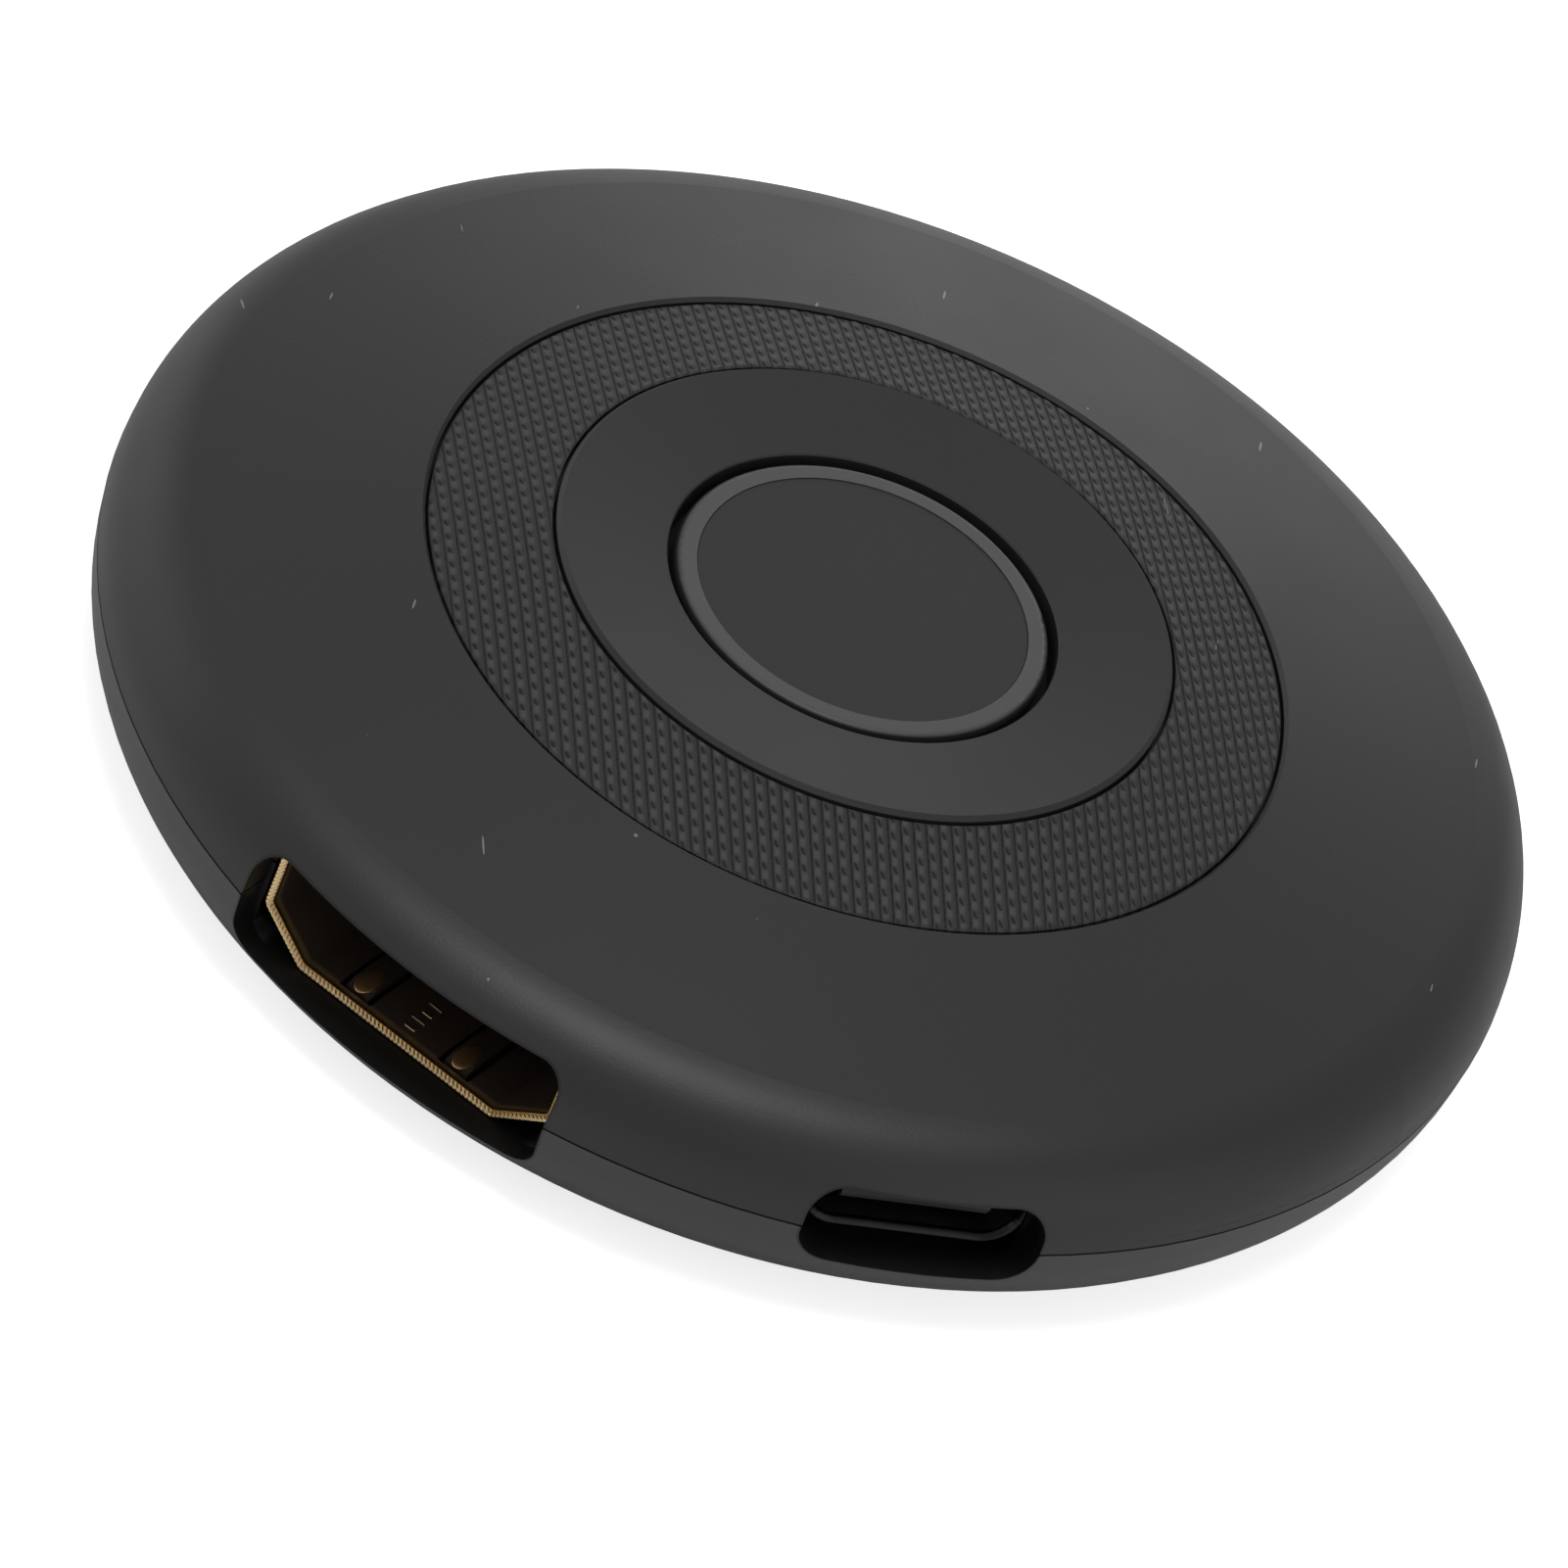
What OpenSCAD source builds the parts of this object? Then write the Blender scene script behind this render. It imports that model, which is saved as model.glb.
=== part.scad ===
// Wireless display adapter: a round puck with a domed top, a textured inlay
// ring, a centre button, a video socket and a power socket in its side.
// Millimetres, +Z up, origin at the centre of the foot's lower face.
// The video socket opens towards -Y.

/* [Housing] */
// Outer diameter at the parting line
housing_d = 60; // [57:0.5:72]
// Height of the parting line above the standing surface
parting_h = 5.2; // [5:0.1:6.5]
// Wall thickness of both moulded covers
wall_t = 1.4; // [1.2:0.1:1.5]
// Rise of the texture ring's outer edge above the parting line
ring_rise = 5.6; // [5.4:0.1:7]
// Slope of the dome where it meets the texture ring, in degrees
dome_slope = 9.5; // [7:0.5:11]
// Radius of the dome's slow curve from the ring to the shoulder
dome_r = 400; // [250:10:600]
// Radius of the shoulder between the dome and the side wall
shoulder_r = 3.9; // [3.2:0.1:4.2]
// Draft of the side walls, in degrees
wall_draft = 6; // [4:0.5:7]
// Radius of the bottom cover's lower edge
base_edge_r = 4; // [3.4:0.1:4.2]
// Floor thickness of the bottom cover
floor_t = 1.2; // [1:0.1:1.3]
// Width of the line between the two covers
parting_gap = 0.1; // [0.06:0.02:0.2]

/* [Top inlays] */
// Share of the housing's diameter that the texture ring's recess takes
ring_share = 0.6015; // [0.59:0.0005:0.615]
// Share of the housing's diameter where the ring meets the centre panel
panel_share = 0.4333; // [0.42:0.0001:0.45]
// Slope of the texture ring, in degrees
ring_slope = 11.9; // [10:0.1:13]
// Fall of the centre panel towards the button, in degrees
panel_slope = 5.6; // [4:0.1:7]
// Thickness of the texture ring and the centre panel
inlay_t = 0.9; // [0.7:0.05:1]
// Width of the shadow line round each inlay
inlay_gap = 0.15; // [0.1:0.01:0.2]
// Thickness of the cover's floor under the inlays
seat_t = 1; // [0.8:0.1:1.1]

/* [Button] */
// Share of the housing's diameter that the button's light rim takes
button_share = 0.262; // [0.25:0.001:0.27]
// Width of the light rim
rim_w = 0.9; // [0.7:0.05:1.1]
// Gap between the button and its hole
button_gap = 0.35; // [0.3:0.05:0.5]
// How far the rim lies below the centre panel's inner edge
button_sink = 0.1; // [0.05:0.05:0.3]
// Travel of the button
button_travel = 0.4; // [0.25:0.05:0.5]
// Thickness of the dark face plate
face_t = 0.6; // [0.4:0.05:0.7]

/* [Board] */
// Gap between the board's edge and the cover's wall
board_gap = 1.6; // [1.4:0.1:2]
// Thickness of the circuit board
board_t = 1; // [0.8:0.1:1]
// Depth of the board's upper face below the parting line
board_drop = 1.4; // [1.3:0.1:1.5]

/* [Video socket] */
// Clear width of the metal shell
video_open_w = 14; // [13.6:0.1:14.2]
// Clear height of the metal shell
video_open_h = 4.55; // [4.4:0.05:4.7]
// Width of the shell's narrower lower edge, outside
video_low_w = 9.8; // [9:0.1:10.4]
// Height of the slanted sides of the shell, outside
video_slant_h = 1.75; // [1.4:0.05:2]
// Sheet thickness of the metal shell
video_sheet_t = 0.3; // [0.25:0.01:0.35]
// Length of the metal shell
video_len = 11.5; // [10.5:0.1:12]
// Depth of the shell's mouth below the housing's widest circle
video_recess = 2.6; // [2.4:0.1:3]
// Depth of the shell's underside below the parting line
video_drop = 2.7; // [2.6:0.05:2.8]
// Width of the mouth moulded in the covers
video_mouth_w = 15.3; // [15.1:0.1:15.8]
// Height of the mouth moulded in the covers
video_mouth_h = 5.2; // [5.1:0.05:5.5]

/* [Power socket] */
// Direction of the power socket, in degrees from the video socket
power_angle = 44.5; // [42:0.5:60]
// Outer width of the oval metal shell
power_w = 8.94; // [8.8:0.02:9]
// Outer height of the oval metal shell
power_h = 3.2; // [3.1:0.02:3.26]
// Sheet thickness of the oval metal shell
power_sheet_t = 0.26; // [0.2:0.01:0.3]
// Length of the oval metal shell
power_len = 7.3; // [6.8:0.1:7.8]
// Depth of the shell's mouth below the housing's widest circle
power_recess = 2.4; // [2.2:0.1:2.8]
// Width of the mouth moulded in the covers
power_mouth_w = 9.7; // [9.5:0.1:10.2]
// Height of the mouth moulded in the covers
power_mouth_h = 3.7; // [3.6:0.05:3.9]

/* [Foot and screws] */
// Height of the foot ring that shows below the bottom cover
foot_proud = 0.6; // [0.4:0.05:0.7]
// Share of the housing's diameter at which the foot ring and the screws lie
foot_share = 0.75; // [0.7:0.01:0.77]
// Share of the housing's diameter that the foot ring's width takes
foot_width_share = 0.07; // [0.06:0.005:0.08]
// Depth of the groove that holds the foot ring
foot_groove = 0.3; // [0.2:0.05:0.4]
// Diameter of the screws' shanks
screw_d = 1.6; // [1.4:0.1:1.8]
// Diameter of the screws' heads
screw_head_d = 3; // [2.8:0.1:3.2]

/* [Hidden] */
$fn = 64;

// One length by which every cut runs past what it cuts
overrun = 1;
// Clearance of parts that sit beside each other without touching
side_clear = 0.15;
// Clearance of parts that fit closely, and the step of a thin coating
fit_clear = 0.05;
skin = 0.03;
// Slight angle by which the shoulder's curve meets the side wall
shoulder_crease = 3;
// Facets of the turned covers and of the dome's large circle
turn_fn = 144;
dome_fn = 1440;

housing_r = housing_d / 2;
ring_r = housing_r * ring_share;
panel_r = housing_r * panel_share;
button_r = housing_r * button_share;
foot_r = housing_r * foot_share;
foot_w = housing_d * foot_width_share;
ring_edge_z = parting_h + ring_rise;

// Heights of the turned steps under the inlays
panel_edge_z = ring_edge_z + (ring_r - panel_r) * tan(ring_slope);
button_hole_r = button_r + button_gap;
panel_top_z = panel_edge_z - (panel_r - button_hole_r) * tan(panel_slope);
seat_z = panel_edge_z - inlay_t;
ceiling_z = seat_z - seat_t;

// Dome arc: its centre lies off the axis, so the dome leaves the ring at its slope
dome_centre = [ring_r - dome_r * sin(dome_slope),
    ring_edge_z - dome_r * cos(dome_slope)];
function dome_z(r) = dome_centre.y + sqrt(pow(dome_r, 2) - pow(r - dome_centre.x, 2));

// Board heights
board_top = parting_h - board_drop;
board_bottom = board_top - board_t;
board_r = housing_r - wall_t - board_gap;

// Video socket
video_w = video_open_w + 2 * video_sheet_t;
video_h = video_open_h + 2 * video_sheet_t;
video_bottom = parting_h - video_drop;
video_mid = video_bottom + video_h / 2;
video_face = housing_r - video_recess;
video_corner_r = 0.55;
video_mouth_r = 1.3;
video_base_len = 2.6;
video_tongue_w = 11.2;
video_tongue_t = 1.1;
video_tongue_recess = 3.2;
video_tongue_rise = 0.25;
video_contact_w = 0.45;
video_contact_t = 0.12;
video_contact_pitch = 1;
video_top_count = 10;
video_low_count = 9;
video_contact_inset = 0.6;
video_foot_len = 1.1;
finger_w = 1.1;
finger_len = 4.6;
finger_slot = 0.25;
finger_depth = 0.2;
finger_x = 2.5;
finger_start = 0.6;
finger_crest_shares = [0.1, 0.28];
ear_len = 2.4;
ear_w = 1.3;
ear_gap_y = 5.2;
ear_start = 2.2;

// Power socket
power_mid = board_top + power_h / 2;
power_face = housing_r - power_recess;
power_mouth_r = 1.5;
power_base_len = 1.8;
power_tongue_w = 6.7;
power_tongue_t = 0.7;
power_tongue_recess = 1.6;
power_contact_w = 0.25;
power_contact_t = 0.08;
power_contact_pitch = 0.5;
power_contact_count = 12;
power_contact_inset = 0.5;
power_foot_len = 0.45;
visor_w = 6;
visor_drop = 0.5;
visor_ramp = 0.28;
visor_shift = 0.8;
power_ear_w = 1;
power_ear_len = 1.2;
power_ear_at_shares = [0.3, 0.75];

// Bottom cover
lip_t = 0.6;
lip_h = 0.9;
lip_root = 1.3;
boss_r = 2.2;
hole_clear = 0.15;
head_h = 0.6;
head_gap = 0.15;
recess_len_share = 0.6;
recess_width_share = 0.16;
screw_len = 5.6;
screw_angles = [20, 130, 235];
head_seat = foot_proud + foot_groove + head_gap + head_h;
rest_pin_r = 0.9;
rest_angles = [75, 175, 330];
rib_t = 0.8;
rib_h = 0.5;
rib_angles = [0, 60, 120];
catch_angles = [10, 80, 150, 210];
catch_w = 5;
catch_h = 0.5;
catch_depth = 0.25;

// Top cover
collar_t = 0.8;
collar_h = 1.9;
stiff_rib_t = 0.8;
stiff_rib_h = 1.2;
stiff_rib_count = 12;
edge_chamfer = 0.18;
hole_chamfer = 0.06;

// Button and switch
flange_w = 1.1;
flange_t = 0.75;
flange_clear = 0.1;
guide_clear = 0.3;
cap_wall = 0.75;
stem_r = 1.9;
rim_top_z = panel_top_z - button_sink;
rim_round = 0.3;
face_gap = 0.03;
switch_side = 6;
switch_h = 3.4;
switch_sheet_t = 0.3;
switch_skirt_share = 0.6;
terminal_rise_share = 0.33;
switch_third_share = 0.33;
switch_hole_r = 2.05;
plunger_r = 1.75;
plunger_proud = 1.5;
plunger_flange_r = 2.4;
plunger_flange_t = 0.5;
dome_disc_r = 2.2;
dome_disc_t = 0.12;
dome_disc_h = 0.7;
terminal_w = 0.7;
terminal_t = 0.25;
terminal_reach = 1.2;
switch_top = board_top + switch_h;
plunger_top = switch_top + switch_sheet_t + plunger_proud;

// Parts soldered on the board, at shares of the board's radius
main_chip_side = 13;
main_chip_h = 1.2;
main_chip_place_share = [0, 0.53];
pad_t = 0.5;
sink_h = 2.4;
sink_base_t = 0.9;
fin_t = 0.7;
fin_count = 7;
memory_size = [7.5, 11, 1];
memory_place_shares = [[-0.52, 0.28], [0.5, 0.4]];
storage_size = [8, 6, 1];
storage_place_share = [-0.66, -0.12];
shield_size = [10, 10, 1.8];
shield_t = 0.2;
shield_place_share = [0.63, -0.13];
radio_size = [6, 6, 0.9];
antenna_size = [1.9, 6.6, 1];
antenna_place_share = [0.915, 0.03];
power_chip_size = [3.6, 3.6, 0.9];
power_chip_gap = 0.8;
power_chip_place_share = [0.15, (video_len + video_foot_len - video_face + power_chip_gap
    + power_chip_size.y / 2) / board_r];
inductor_side = 4;
inductor_h = 2;
inductor_core_r = 1.6;
inductor_flange_t = 0.5;
inductor_place_shares = [[-0.39, -0.38], [-0.58, -0.38], [0.33, -0.33]];
capacitor_size = [1.6, 0.8, 0.8];
capacitor_place_shares = [[-0.25, -0.31], [-0.16, -0.31], [-0.07, -0.31], [0.02, -0.31],
    [-0.31, 0.2], [-0.31, 0.12], [0.31, 0.12], [0.31, 0.2], [-0.12, -0.42], [-0.03, -0.42],
    [-0.3, -0.04], [-0.3, 0.04], [-0.21, -0.42], [0.26, -0.44]];
resistor_size = [1, 0.5, 0.35];
resistor_place_shares = [[-0.2, -0.36], [-0.13, -0.36], [-0.06, -0.36], [0.01, -0.36],
    [0.32, -0.04], [0.32, -0.09], [0.32, 0.01], [0.9, 0.24], [0.88, -0.17], [-0.86, 0.12],
    [-0.86, 0.17], [-0.86, 0.22]];
crystal_size = [3.2, 2.5, 0.8];
crystal_place_shares = [[-0.3, -0.17], [0.3, -0.17]];
led_size = [1.6, 0.8, 0.6];
led_angles = [45, 135, 225, 315];
end_cap_share = 0.22;

shell_gold = [0.8, 0.64, 0.36];
steel_dark = [0.34, 0.34, 0.35];
plastic_black = [0.06, 0.06, 0.065];
cover_black = [0.055, 0.055, 0.058];

// Unit vector, and the point that lies d inside the corner b between a and c
function unit(v) = v / norm(v);
function half_angle(a, b, c) = acos(unit(a - b) * unit(c - b)) / 2;
function inner_point(a, b, c, d) =
    b + unit(unit(a - b) + unit(c - b)) * d / sin(half_angle(a, b, c));

// A convex outline moved inwards by d, and one with its corners rounded by r
function inset_outline(points, d) = let (n = len(points))
    [for (i = [0:n - 1])
        inner_point(points[(i + n - 1) % n], points[i], points[(i + 1) % n], d)];
function corner_arc(a, b, c, r, steps) = let (
        mid = inner_point(a, b, c, r),
        reach = r / tan(half_angle(a, b, c)),
        first = b + unit(a - b) * reach - mid,
        last = b + unit(c - b) * reach - mid)
    [for (i = [0:steps]) mid + r * unit(first * (1 - i / steps) + last * i / steps)];
function rounded_outline(points, r, steps = 4) = let (n = len(points))
    [for (i = [0:n - 1])
        each corner_arc(points[(i + n - 1) % n], points[i], points[(i + 1) % n], r, steps)];
function rectangle_outline(w, h) =
    [[-w / 2, -h / 2], [w / 2, -h / 2], [w / 2, h / 2], [-w / 2, h / 2]];

// Section of a solid of revolution, as r and z: a drafted side wall that starts
// at the parting line, with inset moving the whole surface inwards
module wall_side(inset, height) {
    wall_x = housing_r - inset / cos(wall_draft);
    polygon([[0, 0], [wall_x, 0], [wall_x - height * tan(wall_draft), height], [0, height]]);
}

// Rounds the corner of a section: the wedge between two directions from the
// rounding's centre is cut away and a sector of the radius takes its place
module round_corner(centre, r, dir_a, dir_b) {
    reach = 2 * shoulder_r;
    wedge = [centre, centre + reach * dir_a, centre + reach * (dir_a + dir_b),
        centre + reach * dir_b];
    difference() {
        children();
        polygon(wedge);
    }
    intersection() {
        translate(centre) circle(r = r, $fn = turn_fn);
        polygon(wedge);
    }
}

// Top cover's section above the parting line
module cover_section(inset) {
    normal = [cos(wall_draft), sin(wall_draft)];
    along = [-sin(wall_draft), cos(wall_draft)];
    turn = acos((shoulder_r * cos(shoulder_crease) - inset) / (shoulder_r - inset));
    start = [housing_r, parting_h] - shoulder_r * cos(shoulder_crease) * normal;
    from_dome = start - dome_centre;
    b = from_dome * along;
    c = from_dome * from_dome - pow(dome_r - shoulder_r, 2);
    centre = start + along * (sqrt(b * b - c) - b);
    round_corner(centre, shoulder_r - inset, unit(centre - dome_centre),
        normal * cos(turn) - along * sin(turn))
        intersection() {
            translate([0, parting_h]) wall_side(inset, 2 * ring_rise);
            translate(dome_centre) circle(r = dome_r - inset, $fn = dome_fn);
        }
}

// Bottom cover's section below the parting line, down to a flat underside
module base_section(inset, low) {
    centre_z = foot_proud + base_edge_r;
    centre = [housing_r - (parting_h - centre_z) * tan(wall_draft)
        - base_edge_r / cos(wall_draft), centre_z];
    intersection() {
        round_corner(centre, base_edge_r - inset, [cos(wall_draft), -sin(wall_draft)], [0, -1])
            translate([0, parting_h]) mirror([0, 1])
                wall_side(inset, parting_h - foot_proud - inset);
        translate([0, low]) square([housing_r, parting_h]);
    }
}

// Solid outlines of both mouths, running outwards along -Y from a depth
module video_mouth() {
    translate([0, -video_face, video_mid]) rotate([90, 0, 0])
        linear_extrude(video_recess + overrun)
            polygon(rounded_outline(rectangle_outline(video_mouth_w, video_mouth_h),
                video_mouth_r, 8));
}
module video_pocket() {
    translate([0, video_len - video_face, video_mid]) rotate([90, 0, 0])
        linear_extrude(video_len + side_clear)
            polygon(rectangle_outline(video_w + 2 * side_clear, video_h + 2 * fit_clear));
}
module power_mouth() {
    rotate([0, 0, power_angle]) translate([0, -power_face, power_mid]) rotate([90, 0, 0])
        linear_extrude(power_recess + overrun)
            polygon(rounded_outline(rectangle_outline(power_mouth_w, power_mouth_h),
                power_mouth_r, 8));
}
module power_pocket() {
    rotate([0, 0, power_angle]) translate([0, power_len - power_face, power_mid])
        rotate([90, 0, 0]) linear_extrude(power_len + side_clear)
            polygon(rectangle_outline(power_w + 2 * side_clear, power_h + 2 * side_clear));
}

// Small lip in the middle of the power mouth's upper edge, with a sloped face
module power_visor() {
    top = power_mid + power_mouth_h / 2;
    front = housing_r - side_clear;
    ramp_y = housing_r - (top - parting_h) * tan(wall_draft) - 2 * visor_ramp;
    intersection() {
        rotate([0, 0, power_angle])
            translate([visor_w / 2 - visor_shift, 0, 0]) rotate([90, 0, -90])
                linear_extrude(visor_w)
                    polygon([[front, top + visor_drop], [ramp_y + visor_ramp, top],
                        [ramp_y, top - visor_drop], [ramp_y - wall_t / 2, top - visor_drop],
                        [ramp_y - wall_t / 2, top + visor_drop]]);
        rotate_extrude($fn = turn_fn) cover_section(0);
    }
}

// Places of the screws and of the pins that carry the board
module at_angles(angles, radius) {
    for (a = angles) rotate([0, 0, a]) translate([radius, 0, 0]) children();
}

module catches(extra) {
    at_angles(catch_angles, housing_r - wall_t - side_clear - lip_t / 2)
        translate([lip_t / 4 + catch_depth / 2, 0, parting_h + lip_h / 2])
            cube([lip_t / 2 + catch_depth + extra, catch_w + 2 * extra, catch_h + 2 * extra],
                center = true);
}

// Bottom cover's turned section, with the root and the lip that enter the top
// cover and the groove for the foot ring
module bottom_section(low) {
    lip_r = housing_r - wall_t - side_clear;
    difference() {
        union() {
            difference() {
                base_section(0, low);
                base_section(wall_t, low + floor_t);
            }
            translate([lip_r - lip_t, parting_h - lip_root])
                square([lip_t + side_clear + wall_t / 2, lip_root]);
        }
        translate([0, parting_h - parting_gap / 2]) square([housing_r + overrun, parting_gap]);
        translate([foot_r - foot_w / 2, 0]) square([foot_w, foot_proud + foot_groove]);
    }
    translate([lip_r - lip_t, parting_h - lip_root]) square([lip_t, lip_root + lip_h]);
}

module bottom_cover() {
    low = foot_proud;
    mid_floor = low + floor_t / 2;
    color(cover_black) difference() {
        union() {
            rotate_extrude($fn = turn_fn) bottom_section(low);
            catches(0);
            at_angles(screw_angles, foot_r) translate([0, 0, mid_floor])
                cylinder(r = boss_r, h = board_bottom - mid_floor);
            at_angles(rest_angles, foot_r) translate([0, 0, mid_floor])
                cylinder(r = rest_pin_r, h = board_bottom - mid_floor);
            for (a = rib_angles) rotate([0, 0, a])
                translate([rib_t / 2 - board_r + boss_r, -rib_t / 2, mid_floor])
                    cube([2 * (board_r - boss_r) - rib_t, rib_t, floor_t / 2 + rib_h]);
        }
        at_angles(screw_angles, foot_r) {
            cylinder(r = screw_d / 2 + hole_clear, h = board_top);
            cylinder(r = screw_head_d / 2 + hole_clear, h = head_seat);
        }
        video_mouth();
        video_pocket();
        power_mouth();
        power_pocket();
    }
}

module foot_ring() {
    soft_r = foot_proud / 2;
    color([0.1, 0.1, 0.1]) rotate_extrude($fn = turn_fn)
        translate([foot_r - foot_w / 2 + inlay_gap / 2, 0])
            polygon([[soft_r, 0], [foot_w - inlay_gap - soft_r, 0],
                [foot_w - inlay_gap, soft_r], [foot_w - inlay_gap, foot_proud + foot_groove],
                [0, foot_proud + foot_groove], [0, soft_r]]);
}

module cover_screws() {
    color([0.5, 0.5, 0.52]) at_angles(screw_angles, foot_r) difference() {
        union() {
            translate([0, 0, head_seat - head_h]) cylinder(r = screw_head_d / 2, h = head_h);
            translate([0, 0, head_seat]) cylinder(r = screw_d / 2, h = screw_len);
        }
        for (a = [0, 90]) rotate([0, 0, a]) translate([0, 0, head_seat - head_h])
            cube([screw_head_d * recess_len_share, screw_head_d * recess_width_share, head_h],
                center = true);
    }
}

module main_board() {
    color([0.04, 0.05, 0.05]) difference() {
        translate([0, 0, board_bottom]) cylinder(r = board_r, h = board_t, $fn = turn_fn);
        translate([0, video_len - video_face + side_clear, board_bottom - overrun])
            rotate([0, 0, 180]) translate([-video_w / 2 - side_clear, 0, 0])
                cube([video_w + 2 * side_clear, housing_r, board_t + 2 * overrun]);
        at_angles(screw_angles, foot_r) translate([0, 0, board_bottom - overrun])
            cylinder(r = screw_d / 2 + hole_clear, h = board_t + 2 * overrun);
    }
}

// Outline of the video shell as x and z about its middle, wider at the top
function video_outline() = [[-video_low_w / 2, -video_h / 2], [video_low_w / 2, -video_h / 2],
    [video_w / 2, video_slant_h - video_h / 2], [video_w / 2, video_h / 2],
    [-video_w / 2, video_h / 2], [-video_w / 2, video_slant_h - video_h / 2]];

// Places a profile drawn as x and z so that it runs inwards from the mouth
module along_video(from, length) {
    translate([0, from + length - video_face, video_mid]) rotate([90, 0, 0])
        linear_extrude(length) children();
}

// Spring finger bent inwards from the lower wall
module video_finger() {
    path = [[0, 0], [finger_len * finger_crest_shares[0], finger_depth],
        [finger_len * finger_crest_shares[1], finger_depth], [finger_len, 0]];
    translate([-finger_w / 2, finger_start - video_face, video_mid - video_h / 2])
        rotate([90, 0, 90]) linear_extrude(finger_w)
            polygon(concat(path, [for (i = [len(path) - 1:-1:0])
                path[i] + [0, video_sheet_t]]));
}

module video_shell() {
    side_run = (board_top - video_bottom) / video_slant_h;
    ear_root = video_low_w / 2 + min(side_run, 1) * (video_w - video_low_w) / 2;
    color(shell_gold) union() {
        difference() {
            along_video(0, video_len) difference() {
                polygon(rounded_outline(video_outline(), video_corner_r));
                polygon(rounded_outline(inset_outline(video_outline(), video_sheet_t),
                    video_corner_r - video_sheet_t));
            }
            for (s = [-1, 1], m = [-1, 1])
                translate([s * finger_x, finger_len / 2 + finger_start - finger_slot - video_face,
                    video_mid + m * (video_h - video_sheet_t) / 2])
                    cube([finger_w + 2 * finger_slot, finger_len, 2 * video_sheet_t],
                        center = true);
        }
        for (s = [-1, 1]) translate([s * finger_x, 0, 0]) {
            video_finger();
            translate([0, 0, 2 * video_mid]) mirror([0, 0, 1]) video_finger();
        }
        for (s = [0, 1], y = [0, 1]) mirror([s, 0, 0])
            translate([ear_root - video_sheet_t / 2, ear_start + y * ear_gap_y - video_face,
                board_top])
                cube([ear_len, ear_w, video_sheet_t]);
    }
}

module video_insulator() {
    fit = video_sheet_t + fit_clear;
    color(plastic_black) difference() {
        union() {
            along_video(video_len - video_base_len, video_base_len)
                polygon(rounded_outline(inset_outline(video_outline(), fit),
                    video_corner_r / 2));
            along_video(video_tongue_recess, video_len - video_base_len / 2 - video_tongue_recess)
                translate([0, video_tongue_rise])
                    polygon(rectangle_outline(video_tongue_w, video_tongue_t));
        }
        video_contact_rows();
    }
}

// Sheet contact along one side of a tongue, through the base and down to a
// solder foot on the board; drawn with the socket's mouth at y = 0, bent at bend
module contact(w, t, start, bend, height, foot) {
    translate([-w / 2, start, height]) cube([w, bend - start + t, t]);
    translate([-w / 2, bend, board_top]) cube([w, t, height - board_top + t]);
    translate([-w / 2, bend, board_top]) cube([w, foot, t]);
}

// Both rows of the video socket's contacts, half a pitch apart
module video_contact_rows() {
    start = video_tongue_recess + video_contact_inset;
    middle = video_mid + video_tongue_rise;
    reach = video_tongue_t / 2;
    translate([0, -video_face, 0]) {
        for (i = [0:video_top_count - 1])
            translate([(i - (video_top_count - 1) / 2) * video_contact_pitch, 0, 0])
                contact(video_contact_w, video_contact_t, start, video_len, middle + reach,
                    video_foot_len);
        for (i = [0:video_low_count - 1])
            translate([(i - (video_low_count - 1) / 2) * video_contact_pitch, 0, 0])
                contact(video_contact_w, video_contact_t, start, video_len,
                    middle - reach - video_contact_t, video_foot_len);
    }
}

module video_contacts() {
    color(shell_gold) video_contact_rows();
}

// Oval outline of the power shell, moved inwards by inset
module power_oval(inset) {
    r = power_h / 2 - inset;
    half = (power_w - power_h) / 2;
    for (s = [-1, 1]) translate([s * half, 0]) circle(r = r);
    square([2 * half, 2 * r], center = true);
}

module along_power(from, length) {
    rotate([0, 0, power_angle]) translate([0, from + length - power_face, power_mid])
        rotate([90, 0, 0]) linear_extrude(length) children();
}

module power_shell() {
    color(steel_dark) union() {
        along_power(0, power_len) difference() {
            power_oval(0);
            power_oval(power_sheet_t);
        }
        rotate([0, 0, power_angle]) for (s = [0, 1], at = power_ear_at_shares)
            mirror([s, 0, 0])
                translate([power_w / 2 - power_h / 4, at * power_len - power_face, board_top])
                    cube([power_h / 4 + power_ear_len, power_ear_w, power_sheet_t]);
    }
}

// Both rows of the power socket's contacts, one above the other
module power_contact_rows() {
    start = power_tongue_recess + power_contact_inset;
    reach = power_tongue_t / 2;
    rotate([0, 0, power_angle]) translate([0, -power_face, 0])
        for (i = [0:power_contact_count - 1])
            translate([(i - (power_contact_count - 1) / 2) * power_contact_pitch, 0, 0]) {
                contact(power_contact_w, power_contact_t, start, power_len,
                    power_mid - reach - power_contact_t, power_foot_len);
                contact(power_contact_w, power_contact_t, start,
                    power_len + power_foot_len + side_clear, power_mid + reach, power_foot_len);
            }
}

module power_insulator() {
    fit = power_sheet_t + fit_clear;
    color(plastic_black) difference() {
        union() {
            along_power(power_len - power_base_len, power_base_len) power_oval(fit);
            along_power(power_tongue_recess, power_len - power_base_len / 2 - power_tongue_recess)
                polygon(rectangle_outline(power_tongue_w, power_tongue_t));
        }
        power_contact_rows();
    }
}

module power_contacts() {
    color(shell_gold) power_contact_rows();
}

// A box that stands on the board at a share of the board's radius
module on_board(place_share, size, lift = 0) {
    translate([place_share.x * board_r - size.x / 2, place_share.y * board_r - size.y / 2,
        board_top + lift]) cube(size);
}

module main_chip() {
    color([0.08, 0.08, 0.09])
        on_board(main_chip_place_share, [main_chip_side, main_chip_side, main_chip_h]);
}

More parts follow.
